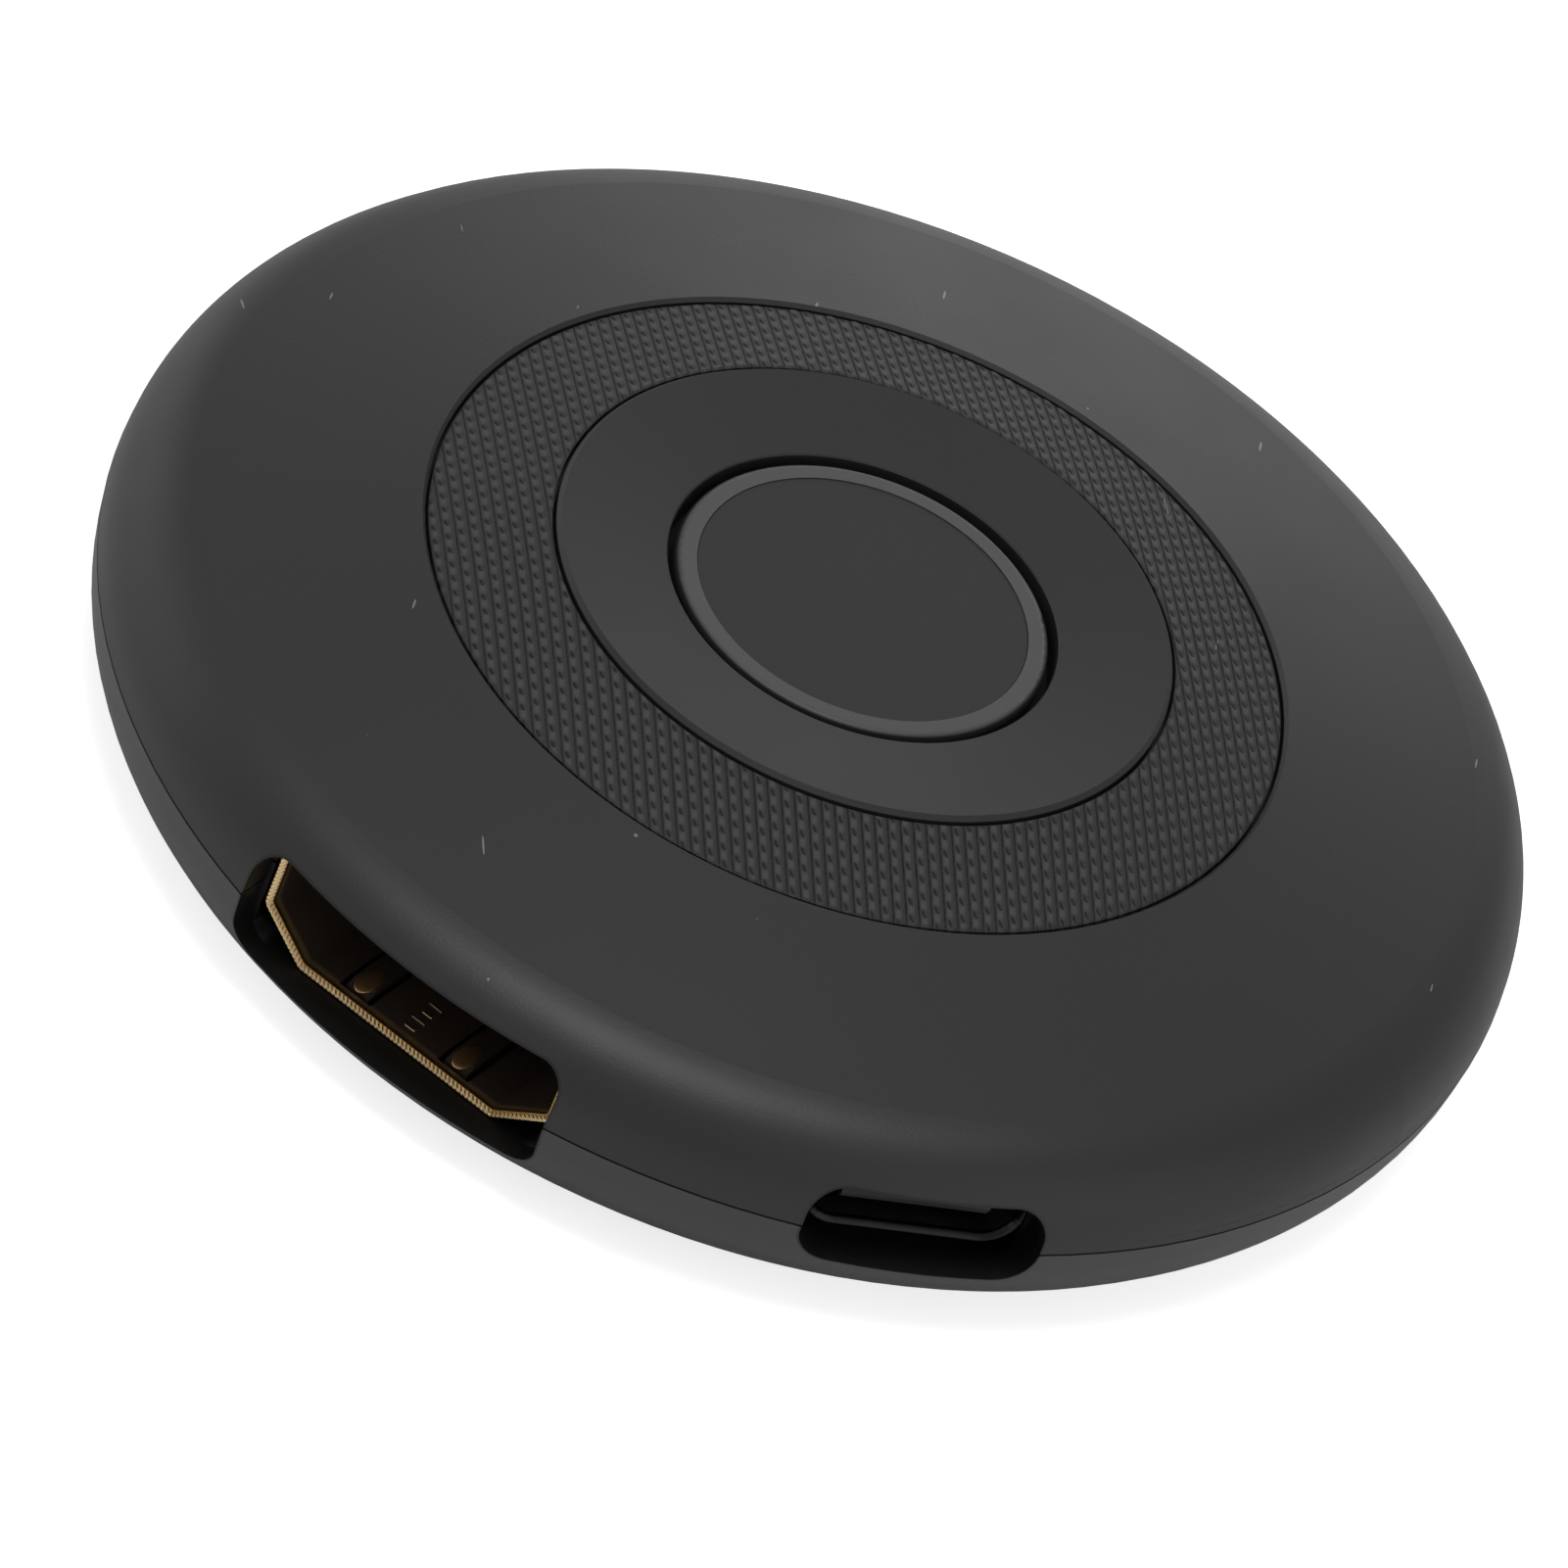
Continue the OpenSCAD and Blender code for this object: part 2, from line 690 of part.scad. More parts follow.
module thermal_pad() {
    color([0.5, 0.55, 0.6])
        on_board(main_chip_place_share, [main_chip_side, main_chip_side, pad_t], main_chip_h);
}

module heat_sink() {
    base = main_chip_h + pad_t;
    pitch = (main_chip_side - fin_t) / (fin_count - 1);
    color([0.75, 0.76, 0.78]) {
        on_board(main_chip_place_share, [main_chip_side, main_chip_side, sink_base_t], base);
        for (i = [0:fin_count - 1])
            translate([i * pitch - (main_chip_side - fin_t) / 2, 0, 0])
                on_board(main_chip_place_share, [fin_t, main_chip_side, sink_h], base);
    }
}

module memory_chips() {
    color([0.07, 0.07, 0.08]) for (p = memory_place_shares) on_board(p, memory_size);
}

module storage_chip() {
    color([0.07, 0.07, 0.08]) on_board(storage_place_share, storage_size);
}

module radio_chip() {
    color([0.07, 0.07, 0.08]) on_board(shield_place_share, radio_size);
}

module radio_shield() {
    inner = [shield_size.x - 2 * shield_t, shield_size.y - 2 * shield_t,
        shield_size.z - shield_t];
    color([0.72, 0.72, 0.7]) difference() {
        on_board(shield_place_share, shield_size);
        on_board(shield_place_share, [inner.x, inner.y, inner.z + overrun], -overrun);
    }
}

module antenna() {
    color([0.85, 0.85, 0.8]) on_board(antenna_place_share, antenna_size);
}

module power_chip() {
    color([0.07, 0.07, 0.08]) on_board(power_chip_place_share, power_chip_size);
}

// Drum core between two square flanges
module inductors() {
    drum = inductor_h - 2 * inductor_flange_t;
    color([0.25, 0.25, 0.27]) for (p = inductor_place_shares) {
        for (lift = [0, inductor_h - inductor_flange_t])
            on_board(p, [inductor_side, inductor_side, inductor_flange_t], lift);
        translate([p.x * board_r, p.y * board_r, board_top + inductor_flange_t])
            cylinder(r = inductor_core_r, h = drum);
    }
}

// Two-terminal part: a body with a metal cap on each end
module end_capped(place_share, size, body_colour) {
    cap = size.x * end_cap_share;
    color(body_colour) on_board(place_share, size);
    for (s = [-1, 1]) color([0.8, 0.8, 0.82])
        translate([s * (size.x - cap) / 2, 0, 0])
            on_board(place_share, [cap, size.y, size.z + skin]);
}

module capacitors() {
    for (p = capacitor_place_shares) end_capped(p, capacitor_size, [0.6, 0.5, 0.38]);
}

module resistors() {
    for (p = resistor_place_shares) end_capped(p, resistor_size, [0.08, 0.08, 0.1]);
}

module crystals() {
    color([0.75, 0.75, 0.74]) for (p = crystal_place_shares) on_board(p, crystal_size);
}

module status_leds() {
    color([0.9, 0.92, 0.85]) at_angles(led_angles, button_r)
        translate([-led_size.x / 2, -led_size.y / 2, board_top]) cube(led_size);
}

module switch_body() {
    color(plastic_black) difference() {
        translate([0, 0, board_top + switch_h / 2])
            cube([switch_side, switch_side, switch_h], center = true);
        translate([0, 0, switch_top - plunger_flange_t - button_travel - dome_disc_h])
            cylinder(r = plunger_flange_r + side_clear, h = switch_h);
    }
}

// Four gull-wing terminals, two on each side
module switch_terminals() {
    color([0.78, 0.78, 0.76]) for (a = [0, 180], s = [-1, 1]) rotate([0, 0, a])
        translate([switch_side / 2, s * switch_side * switch_third_share - terminal_w / 2, board_top]) {
            cube([terminal_t, terminal_w, switch_h * terminal_rise_share]);
            cube([terminal_reach, terminal_w, terminal_t]);
        }
}

// Thin snap disc that arches up to the plunger
module switch_dome() {
    base = switch_top - plunger_flange_t - button_travel - dome_disc_h;
    rise = dome_disc_h + button_travel - side_clear / 2;
    arc_r = (pow(dome_disc_r, 2) + pow(rise, 2)) / (2 * rise);
    color([0.8, 0.8, 0.8]) rotate_extrude() intersection() {
        difference() {
            translate([0, base + rise - arc_r]) circle(r = arc_r);
            translate([0, base + rise - arc_r]) circle(r = arc_r - dome_disc_t);
        }
        translate([0, base]) square([dome_disc_r, rise]);
    }
}

module switch_plunger() {
    color([0.15, 0.15, 0.16]) {
        translate([0, 0, switch_top - plunger_flange_t])
            cylinder(r = plunger_flange_r, h = plunger_flange_t - skin);
        translate([0, 0, switch_top - plunger_flange_t])
            cylinder(r = plunger_r, h = plunger_top - switch_top + plunger_flange_t);
    }
}

// Metal frame that holds the plunger in and wraps two sides of the body
module switch_cover() {
    side_h = switch_h * switch_skirt_share;
    color([0.7, 0.7, 0.7]) difference() {
        union() {
            translate([-switch_side / 2, -switch_side / 2 - switch_sheet_t, switch_top])
                cube([switch_side, switch_side + 2 * switch_sheet_t, switch_sheet_t]);
            for (s = [0, 1]) mirror([0, s, 0])
                translate([-switch_side * switch_third_share, switch_side / 2,
                    switch_top - side_h])
                    cube([2 * switch_side * switch_third_share, switch_sheet_t,
                        side_h + switch_sheet_t]);
        }
        translate([0, 0, switch_top - overrun])
            cylinder(r = switch_hole_r, h = switch_sheet_t + 2 * overrun);
    }
}

// Turned cap: light rim, retaining flange, web under the face and a stem
module button_cap() {
    outer_r = button_r;
    flange_top = ceiling_z - flange_clear;
    flange_low = flange_top - flange_t;
    face_low = rim_top_z - face_t;
    web_low = face_low - cap_wall;
    color([0.36, 0.36, 0.37]) rotate_extrude($fn = turn_fn) {
        polygon([[0, plunger_top], [stem_r, plunger_top], [stem_r, web_low],
            [outer_r - cap_wall, web_low], [outer_r - cap_wall, flange_low],
            [outer_r + flange_w, flange_low], [outer_r + flange_w, flange_top],
            [outer_r, flange_top], [outer_r, rim_top_z - rim_round],
            [outer_r - rim_round, rim_top_z], [outer_r - rim_w, rim_top_z],
            [outer_r - rim_w, face_low], [0, face_low]]);
        translate([outer_r - rim_round, rim_top_z - rim_round]) circle(r = rim_round);
    }
}

module button_face() {
    r = button_r - rim_w - face_gap;
    color([0.045, 0.045, 0.047]) translate([0, 0, rim_top_z - face_t])
        cylinder(r = r, h = face_t - skin, $fn = turn_fn);
}

module top_cover() {
    seat_end_z = seat_z - (ring_r - panel_r) * tan(ring_slope);
    low = parting_h + parting_gap / 2;
    color(cover_black) {
        difference() {
            union() {
                rotate_extrude($fn = turn_fn) difference() {
                    cover_section(0);
                    difference() {
                        cover_section(wall_t);
                        polygon([[0, ceiling_z], [panel_r, ceiling_z],
                            [ring_r, seat_end_z - seat_t],
                            [ring_r + wall_t, seat_end_z - seat_t],
                            [ring_r + wall_t, ring_edge_z], [0, 2 * ring_edge_z]]);
                    }
                    polygon([[0, seat_z], [panel_r, seat_z], [ring_r, seat_end_z],
                        [ring_r, ring_edge_z - edge_chamfer],
                        [ring_r + edge_chamfer, ring_edge_z],
                        [ring_r + edge_chamfer, 2 * ring_edge_z], [0, 2 * ring_edge_z]]);
                    square([button_hole_r, 2 * ring_edge_z]);
                    square([housing_r + overrun, low]);
                }
                translate([0, 0, ceiling_z - collar_h]) difference() {
                    cylinder(r = button_r + flange_w + guide_clear + collar_t,
                        h = collar_h + seat_t / 2, $fn = turn_fn);
                    translate([0, 0, -overrun])
                        cylinder(r = button_r + flange_w + guide_clear,
                            h = collar_h + seat_t + 2 * overrun, $fn = turn_fn);
                }
                at_angles(screw_angles, foot_r) translate([0, 0, board_top])
                    cylinder(r = boss_r, h = dome_z(foot_r) - wall_t / 2 - board_top);
                at_angles([for (i = [0:stiff_rib_count - 1]) (i + 1 / 2) * 360 / stiff_rib_count], 0)
                    translate([button_r + flange_w + guide_clear + collar_t / 2,
                        -stiff_rib_t / 2, ceiling_z - stiff_rib_h])
                        cube([panel_r - button_r - flange_w - guide_clear,
                            stiff_rib_t, stiff_rib_h + seat_t / 2]);
            }
            catches(side_clear);
            at_angles(screw_angles, foot_r)
                translate([0, 0, board_top - overrun])
                    cylinder(r = screw_d / 2 + fit_clear,
                        h = head_seat + screw_len + side_clear - board_top + overrun);
            video_mouth();
            video_pocket();
            power_mouth();
            power_pocket();
        }
        power_visor();
    }
}

// Inlay between the cover and the centre panel
module texture_ring() {
    in_r = panel_r + inlay_gap / 2;
    out_r = ring_r - inlay_gap;
    top = [for (r = [out_r, in_r]) ring_edge_z + (ring_r - r) * tan(ring_slope)];
    fall = edge_chamfer * tan(ring_slope);
    color([0.05, 0.05, 0.052]) rotate_extrude($fn = turn_fn)
        polygon([[in_r, top[1] - inlay_t + skin], [out_r, top[0] - inlay_t + skin],
            [out_r, top[0] - edge_chamfer], [out_r - edge_chamfer, top[0] + fall],
            [in_r + edge_chamfer, top[1] - fall], [in_r, top[1] - edge_chamfer]]);
}

module centre_panel() {
    out_r = panel_r - inlay_gap / 2;
    color([0.055, 0.055, 0.058]) rotate_extrude($fn = turn_fn)
        polygon([[button_hole_r, seat_z], [out_r, seat_z],
            [out_r, panel_edge_z - edge_chamfer], [out_r - edge_chamfer, panel_edge_z],
            [button_hole_r + hole_chamfer, panel_top_z],
            [button_hole_r, panel_top_z - hole_chamfer]]);
}

bottom_cover();
foot_ring();
cover_screws();
main_board();
video_shell();
video_insulator();
video_contacts();
power_shell();
power_insulator();
power_contacts();
main_chip();
thermal_pad();
heat_sink();
memory_chips();
storage_chip();
radio_chip();
radio_shield();
antenna();
power_chip();
inductors();
capacitors();
resistors();
crystals();
status_leds();
switch_body();
switch_terminals();
switch_dome();
switch_plunger();
switch_cover();
button_cap();
button_face();
top_cover();
texture_ring();
centre_panel();
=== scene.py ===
# %% [markdown]
# # A wireless display adapter
# A round puck of matte black plastic, 60 mm across and 12 mm high. Its top is a very
# shallow cone with two inlays set flush into it: a ring of moulded pillows and a plain
# centre panel. A button sits in the middle, and two sockets open in the side wall.
#
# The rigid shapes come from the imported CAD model, so this file gives them their
# finishes, adds the details that are finer than CAD, and lights and frames them.
# Everything is in metres, with +Z up and the video socket opening towards -Y.

# %% Load the CAD model
import math

import bmesh
import bpy
import numpy as np
from mathutils import Matrix, Vector


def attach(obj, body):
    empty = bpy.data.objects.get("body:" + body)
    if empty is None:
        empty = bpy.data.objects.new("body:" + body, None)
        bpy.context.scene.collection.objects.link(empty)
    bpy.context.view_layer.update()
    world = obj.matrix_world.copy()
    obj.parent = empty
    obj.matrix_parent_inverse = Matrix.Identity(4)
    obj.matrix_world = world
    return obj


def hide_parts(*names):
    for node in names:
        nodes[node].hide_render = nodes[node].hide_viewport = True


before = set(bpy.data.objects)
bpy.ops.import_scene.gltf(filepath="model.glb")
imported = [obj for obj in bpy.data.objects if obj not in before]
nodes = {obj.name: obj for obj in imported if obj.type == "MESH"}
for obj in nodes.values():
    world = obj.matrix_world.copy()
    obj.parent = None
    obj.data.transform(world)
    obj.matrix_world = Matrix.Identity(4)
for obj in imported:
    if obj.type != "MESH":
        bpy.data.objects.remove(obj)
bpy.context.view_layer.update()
MM = 0.001

# %% [markdown]
# ## Camera
# The photograph looks down at the puck from 40 degrees, a little to the right of the
# video socket, with the camera tilted so that the puck leans. A long lens from 0.45 m
# keeps the ellipses almost parallel. The lens and the puck's place in the picture are
# named in the picture's own pixels.

# %% Camera
PICTURE_WIDTH = 1601
VIEW_AZIMUTH = math.radians(20.9)
VIEW_HEIGHT = math.radians(39.91)
VIEW_TILT = math.radians(23.43)
VIEW_DISTANCE = 0.45
FOCAL_PIXELS = 11409
AIM_PIXELS = (33.2, -79.2)
PARTING_HEIGHT = 5.2 * MM
SENSOR_WIDTH = 36


def place_camera():
    forward = Vector((-math.sin(VIEW_AZIMUTH) * math.cos(VIEW_HEIGHT),
                      math.cos(VIEW_AZIMUTH) * math.cos(VIEW_HEIGHT),
                      -math.sin(VIEW_HEIGHT)))
    level_right = Vector((math.cos(VIEW_AZIMUTH), math.sin(VIEW_AZIMUTH), 0))
    level_up = level_right.cross(forward)
    right = math.cos(VIEW_TILT) * level_right + math.sin(VIEW_TILT) * level_up
    up = math.cos(VIEW_TILT) * level_up - math.sin(VIEW_TILT) * level_right
    aside, down = (a * VIEW_DISTANCE / FOCAL_PIXELS for a in AIM_PIXELS)
    place = (Vector((0, 0, PARTING_HEIGHT)) - forward * VIEW_DISTANCE
             - right * aside + up * down)
    data = bpy.data.cameras.new("camera")
    data.sensor_width = SENSOR_WIDTH
    data.lens = FOCAL_PIXELS / PICTURE_WIDTH * SENSOR_WIDTH
    data.clip_start = 0.01
    camera = bpy.data.objects.new("camera", data)
    turn = Matrix((right, up, -forward)).transposed()
    camera.matrix_world = Matrix.Translation(place) @ turn.to_4x4()
    bpy.context.scene.collection.objects.link(camera)
    bpy.context.scene.camera = camera
    return camera


camera = place_camera()
print("lens", round(camera.data.lens, 1), "mm at", [round(c, 3) for c in camera.location])

# %% [markdown]
# ## Material helpers
# Every finish is a small node tree. A few helpers keep the trees short: they start a
# material with its shader, add a node and link its inputs, start a node group with named
# sockets and use it, do a sum, mix two colours, let the roughness swing, add a bump, and
# give a finish to pieces of the CAD model. A value that is the same all over a surface
# is set on the shader's own socket; only what changes over it comes through nodes.

# %% Material helpers
def new_material(name, **settings):
    material = bpy.data.materials.new(name)
    material.use_nodes = True
    shader = material.node_tree.nodes["Principled BSDF"]
    for key, value in settings.items():
        socket = shader.inputs[key.replace("_", " ").title().replace("Ior", "IOR")]
        socket.default_value = (*value, 1) if isinstance(value, tuple) else value
    return material, shader


def add_node(tree, kind, inputs=(), **settings):
    node = tree.nodes.new(kind)
    for key, value in settings.items():
        setattr(node, key, value)
    for key, value in dict(inputs).items():
        if isinstance(value, bpy.types.NodeSocket):
            tree.links.new(value, node.inputs[key])
        else:
            node.inputs[key].default_value = value
    return node


def new_group(name, inputs, outputs):
    """A node group whose sockets are numbers; the inputs have their usual values."""
    group = bpy.data.node_groups.new(name, "ShaderNodeTree")
    kind = "NodeSocketFloat"
    for key, value in inputs.items():
        socket = group.interface.new_socket(name=key, in_out="INPUT", socket_type=kind)
        socket.default_value = value
    for key in outputs:
        group.interface.new_socket(name=key, in_out="OUTPUT", socket_type=kind)
    start = group.nodes.new("NodeGroupInput")
    end = group.nodes.new("NodeGroupOutput")
    return group, start.outputs, end


def use_group(tree, group, **inputs):
    node = tree.nodes.new("ShaderNodeGroup")
    node.node_tree = group
    for key, value in inputs.items():
        node.inputs[key.replace("_", " ").capitalize()].default_value = value
    return node.outputs


def math_node(tree, operation, a, b=0.5):
    return add_node(tree, "ShaderNodeMath", {0: a, 1: b}, operation=operation).outputs[0]


def mix_colours(tree, factor, first, second):
    colours = {key: value if isinstance(value, bpy.types.NodeSocket) else (*value, 1)
               for key, value in (("A", first), ("B", second))}
    return add_node(tree, "ShaderNodeMix", {"Factor": factor, **colours},
                    data_type="RGBA").outputs["Result"]


def object_place(tree):
    return add_node(tree, "ShaderNodeTexCoord").outputs["Object"]


def swing_roughness(tree, shader, value, middle, swing):
    rough = add_node(tree, "ShaderNodeMapRange",
                     {"Value": value, "To Min": middle - swing, "To Max": middle + swing})
    tree.links.new(rough.outputs["Result"], shader.inputs["Roughness"])


def add_bump(tree, shader, height, strength, distance):
    bump = add_node(tree, "ShaderNodeBump",
                    {"Height": height, "Strength": strength, "Distance": distance})
    tree.links.new(bump.outputs["Normal"], shader.inputs["Normal"])


def give(material, *names):
    for name in names:
        mesh = nodes[name].data
        mesh.materials.clear()
        mesh.materials.append(material)


print("material helpers ready")

# %% [markdown]
# ## Spark-eroded grain
# The mould of a matte plastic cover is spark-eroded, which leaves a fine even grain of
# about a tenth of a millimetre. It could be a displaced mesh, but it is far too fine for
# that: a fine noise feeds a bump instead. The same group gives a slow mottling from a
# coarser noise, because no real moulding is evenly matte.

# %% Grain group
def make_grain():
    group, given, end = new_group(
        "moulded_grain",
        {"Grain size": 0.12 * MM, "Mottle size": 6 * MM},
        ("Height", "Mottle"))
    place = object_place(group)
    fine_scale = math_node(group, "DIVIDE", 1.0, given["Grain size"])
    slow_scale = math_node(group, "DIVIDE", 1.0, given["Mottle size"])
    fine = add_node(group, "ShaderNodeTexNoise",
                    {"Vector": place, "Scale": fine_scale, "Detail": 2.0, "Roughness": 0.6})
    slow = add_node(group, "ShaderNodeTexNoise",
                    {"Vector": place, "Scale": slow_scale, "Detail": 3.0, "Roughness": 0.55})
    group.links.new(fine.outputs["Fac"], end.inputs["Height"])
    group.links.new(slow.outputs["Fac"], end.inputs["Mottle"])
    return group


grain = make_grain()
print("grain group", [s.name for s in grain.interface.items_tree])

# %% [markdown]
# ## Dust and hairline scratches
# A handled black surface always carries a few pale specks and short hairline scratches.
# Scattered little meshes would work, but they would hang off the surface. A cell texture
# gives one random point in each cell, and a speck is drawn only where that cell's own
# random colour passes a limit, so the specks are few and stay where they are. For a
# scratch the cells are stretched before the distance is taken. Dust settles on what
# faces up, so the mask stops where the surface turns to the side.

# %% Dust group
FACING_UP = 0.8


def make_dust():
    """Mask of a few round specks, or of short hairs where the cells are stretched."""
    group, given, end = new_group(
        "dust_and_scratches",
        {"Cell size": 6 * MM, "Speck size": 0.12 * MM, "Share": 0.25, "Stretch": 1.0,
         "Lean": 0.6},
        ("Mask",))
    place = object_place(group)
    bent = add_node(group, "ShaderNodeVectorRotate",
                    {"Vector": place, "Angle": given["Lean"]}, rotation_type="Z_AXIS").outputs[0]
    thin = add_node(group, "ShaderNodeCombineXYZ",
                    {"X": 1.0, "Y": given["Stretch"], "Z": 1.0}).outputs[0]
    scaled = add_node(group, "ShaderNodeVectorMath", {0: bent, 1: thin},
                      operation="MULTIPLY").outputs[0]
    scale = math_node(group, "DIVIDE", 1.0, given["Cell size"])
    cells = add_node(group, "ShaderNodeTexVoronoi", {"Vector": scaled, "Scale": scale},
                     feature="F1", voronoi_dimensions="2D")
    pick = add_node(group, "ShaderNodeSeparateColor", {"Color": cells.outputs["Color"]})
    reach = math_node(group, "DIVIDE", given["Speck size"], given["Cell size"])
    reach = math_node(group, "MULTIPLY", reach, pick.outputs["Green"])
    near = math_node(group, "LESS_THAN", cells.outputs["Distance"], reach)
    chosen = math_node(group, "LESS_THAN", pick.outputs["Red"], given["Share"])
    faces = add_node(group, "ShaderNodeSeparateXYZ",
                     {0: add_node(group, "ShaderNodeTexCoord").outputs["Normal"]})
    level = math_node(group, "GREATER_THAN", faces.outputs["Z"], FACING_UP)
    drawn = math_node(group, "MULTIPLY", math_node(group, "MULTIPLY", near, chosen), level)
    group.links.new(drawn, end.inputs["Mask"])
    return group


dust = make_dust()
print("dust group", [s.name for s in dust.interface.items_tree])

# %% [markdown]
# ## Socket mouths
# Each socket sits well back in an opening of the covers, and hardly any light gets in, so the
# opening's walls get painted shade, blacker than the skin outside. Painting them by hand would
# need a second material on faces that the CAD model doesn't keep apart. Instead a group turns
# each point until the socket would open along -Y, and tells how far the point lies outside a
# rounded rectangle of the opening's size; its soft edge paints the shade of the opening's rounded
# rim.

# %% Socket mouth group
VIDEO_MIDDLE = 5.075 * MM
VIDEO_MOUTH_Y = -27.4 * MM
POWER_MIDDLE = 5.4 * MM
POWER_MOUTH_Y = -27.68 * MM
POWER_TURN = math.radians(44.5)
FRONT_LIMIT = -20 * MM
EDGE_START = 0.01 * MM


# Mask of the painted shade inside a socket opening, soft over its rounded rim.
def make_mouth_shade():
    group, given, end = new_group(
        "socket_mouth_shade",
        {"Turn": 0.0, "Middle": 5 * MM, "Half width": 7 * MM, "Half height": 2 * MM,
         "Corner": 1 * MM, "Soft edge": 0.14 * MM},
        ("Mask",))
    turned = add_node(group, "ShaderNodeVectorRotate",
                      {"Vector": object_place(group), "Angle": given["Turn"]},
                      rotation_type="Z_AXIS").outputs[0]
    axes = add_node(group, "ShaderNodeSeparateXYZ", {0: turned}).outputs
    rise = math_node(group, "SUBTRACT", axes["Z"], given["Middle"])
    past = []
    for along, half in ((axes["X"], given["Half width"]), (rise, given["Half height"])):
        core = math_node(group, "SUBTRACT", half, given["Corner"])
        beyond = math_node(group, "SUBTRACT", math_node(group, "ABSOLUTE", along), core)
        past.append(math_node(group, "POWER", math_node(group, "MAXIMUM", beyond, 0.0), 2.0))
    away = math_node(group, "SQRT", math_node(group, "ADD", *past))
    away = math_node(group, "SUBTRACT", away, given["Corner"])
    inside = add_node(group, "ShaderNodeMapRange",
                      {"Value": away, "From Min": EDGE_START, "From Max": given["Soft edge"],
                       "To Min": 1.0, "To Max": 0.0}, interpolation_type="SMOOTHSTEP")
    front = math_node(group, "LESS_THAN", axes["Y"], FRONT_LIMIT)
    group.links.new(math_node(group, "MULTIPLY", inside.outputs["Result"], front),
                    end.inputs["Mask"])
    return group


mouth = make_mouth_shade()
VIDEO_MOUTH = dict(middle=VIDEO_MIDDLE, half_width=7.65 * MM, half_height=2.6 * MM,
                   corner=1.3 * MM)
POWER_MOUTH = dict(turn=-POWER_TURN, middle=POWER_MIDDLE, half_width=4.85 * MM,
                   half_height=1.85 * MM, corner=1.5 * MM)
print("mouth group", [s.name for s in mouth.interface.items_tree])

# %% [markdown]
# ## Pillow gap group
# The ring's pillows stand in columns, parted by grooves, and each pillow is parted from the next
# by a short slanted slit. Light that enters such a gap hardly comes out again, so the gaps get
# painted shade, darker than their depth alone would make them. The pillow's high side, next to
# its slit, gets a painted highlight a little paler than the rest. This group works out where both
# are, from the same sizes that shape the pillows later.

# %% Pillow gap group
COLUMN_PITCH = 0.535 * MM
ROW_PITCH = 0.8 * MM
ROW_SHIFT = 0.36
COLUMN_AZIMUTH = math.radians(43.4)
GROOVE_HALF_WIDTH = 0.065 * MM
SLIT_ASIDE = -0.07 * MM
SLIT_LEAN = -0.3
SLIT_HALF_WIDTH = 0.06 * MM
SLIT_HALF_LENGTH = 0.2 * MM
CREST_HALF_WIDTH = 0.17 * MM
CREST_HALF_LENGTH = 0.3 * MM


def nearest(tree, value, pitch):
    """How many pitches away the nearest line is, and how far the point lies past it."""
    count = math_node(tree, "ROUND", math_node(tree, "DIVIDE", value, pitch))
    return count, math_node(tree, "SUBTRACT", value, math_node(tree, "MULTIPLY", count, pitch))


def hump(tree, value, half, power):
    """1 at 0, falling to 0 at the half width."""
    share = math_node(tree, "ABSOLUTE", math_node(tree, "DIVIDE", value, half))
    fall = math_node(tree, "SUBTRACT", 1.0, math_node(tree, "POWER", share, power))
    return math_node(tree, "MAXIMUM", fall, 0.0)


def make_pillow_shading():
    group, given, end = new_group("pillow_painted_shading", {"Groove half width": GROOVE_HALF_WIDTH},
                                  ("Mask", "Crest"))
    turned = add_node(group, "ShaderNodeVectorRotate",
                      {"Vector": object_place(group), "Angle": -COLUMN_AZIMUTH},
                      rotation_type="Z_AXIS").outputs[0]
    axes = add_node(group, "ShaderNodeSeparateXYZ", {0: turned}).outputs
    column, across = nearest(group, axes["X"], COLUMN_PITCH)
    late = math_node(group, "MULTIPLY", column, ROW_SHIFT * ROW_PITCH)
    row, along = nearest(group, math_node(group, "SUBTRACT", axes["Y"], late), ROW_PITCH)
    to_groove = math_node(group, "SUBTRACT", COLUMN_PITCH / 2,
                          math_node(group, "ABSOLUTE", across))
    groove = hump(group, to_groove, given["Groove half width"], 1.0)
    lean = math_node(group, "MULTIPLY_ADD", along, -SLIT_LEAN)
    lean.node.inputs[2].default_value = -SLIT_ASIDE
    aside = math_node(group, "ADD", across, lean)
    slit = math_node(group, "MULTIPLY", hump(group, aside, SLIT_HALF_WIDTH, 2.0),
                     hump(group, along, SLIT_HALF_LENGTH, 4.0))
    group.links.new(math_node(group, "MAXIMUM", groove, slit), end.inputs["Mask"])
    from_slit = math_node(group, "SUBTRACT", ROW_PITCH / 2, math_node(group, "ABSOLUTE", along))
    high = math_node(group, "SUBTRACT", across, SLIT_ASIDE)
    crest = math_node(group, "MULTIPLY", hump(group, high, CREST_HALF_WIDTH, 2.0),
                      hump(group, from_slit, CREST_HALF_LENGTH, 2.0))
    group.links.new(crest, end.inputs["Crest"])
    return group


gaps = make_pillow_shading()
print("gap group", [s.name for s in gaps.interface.items_tree])
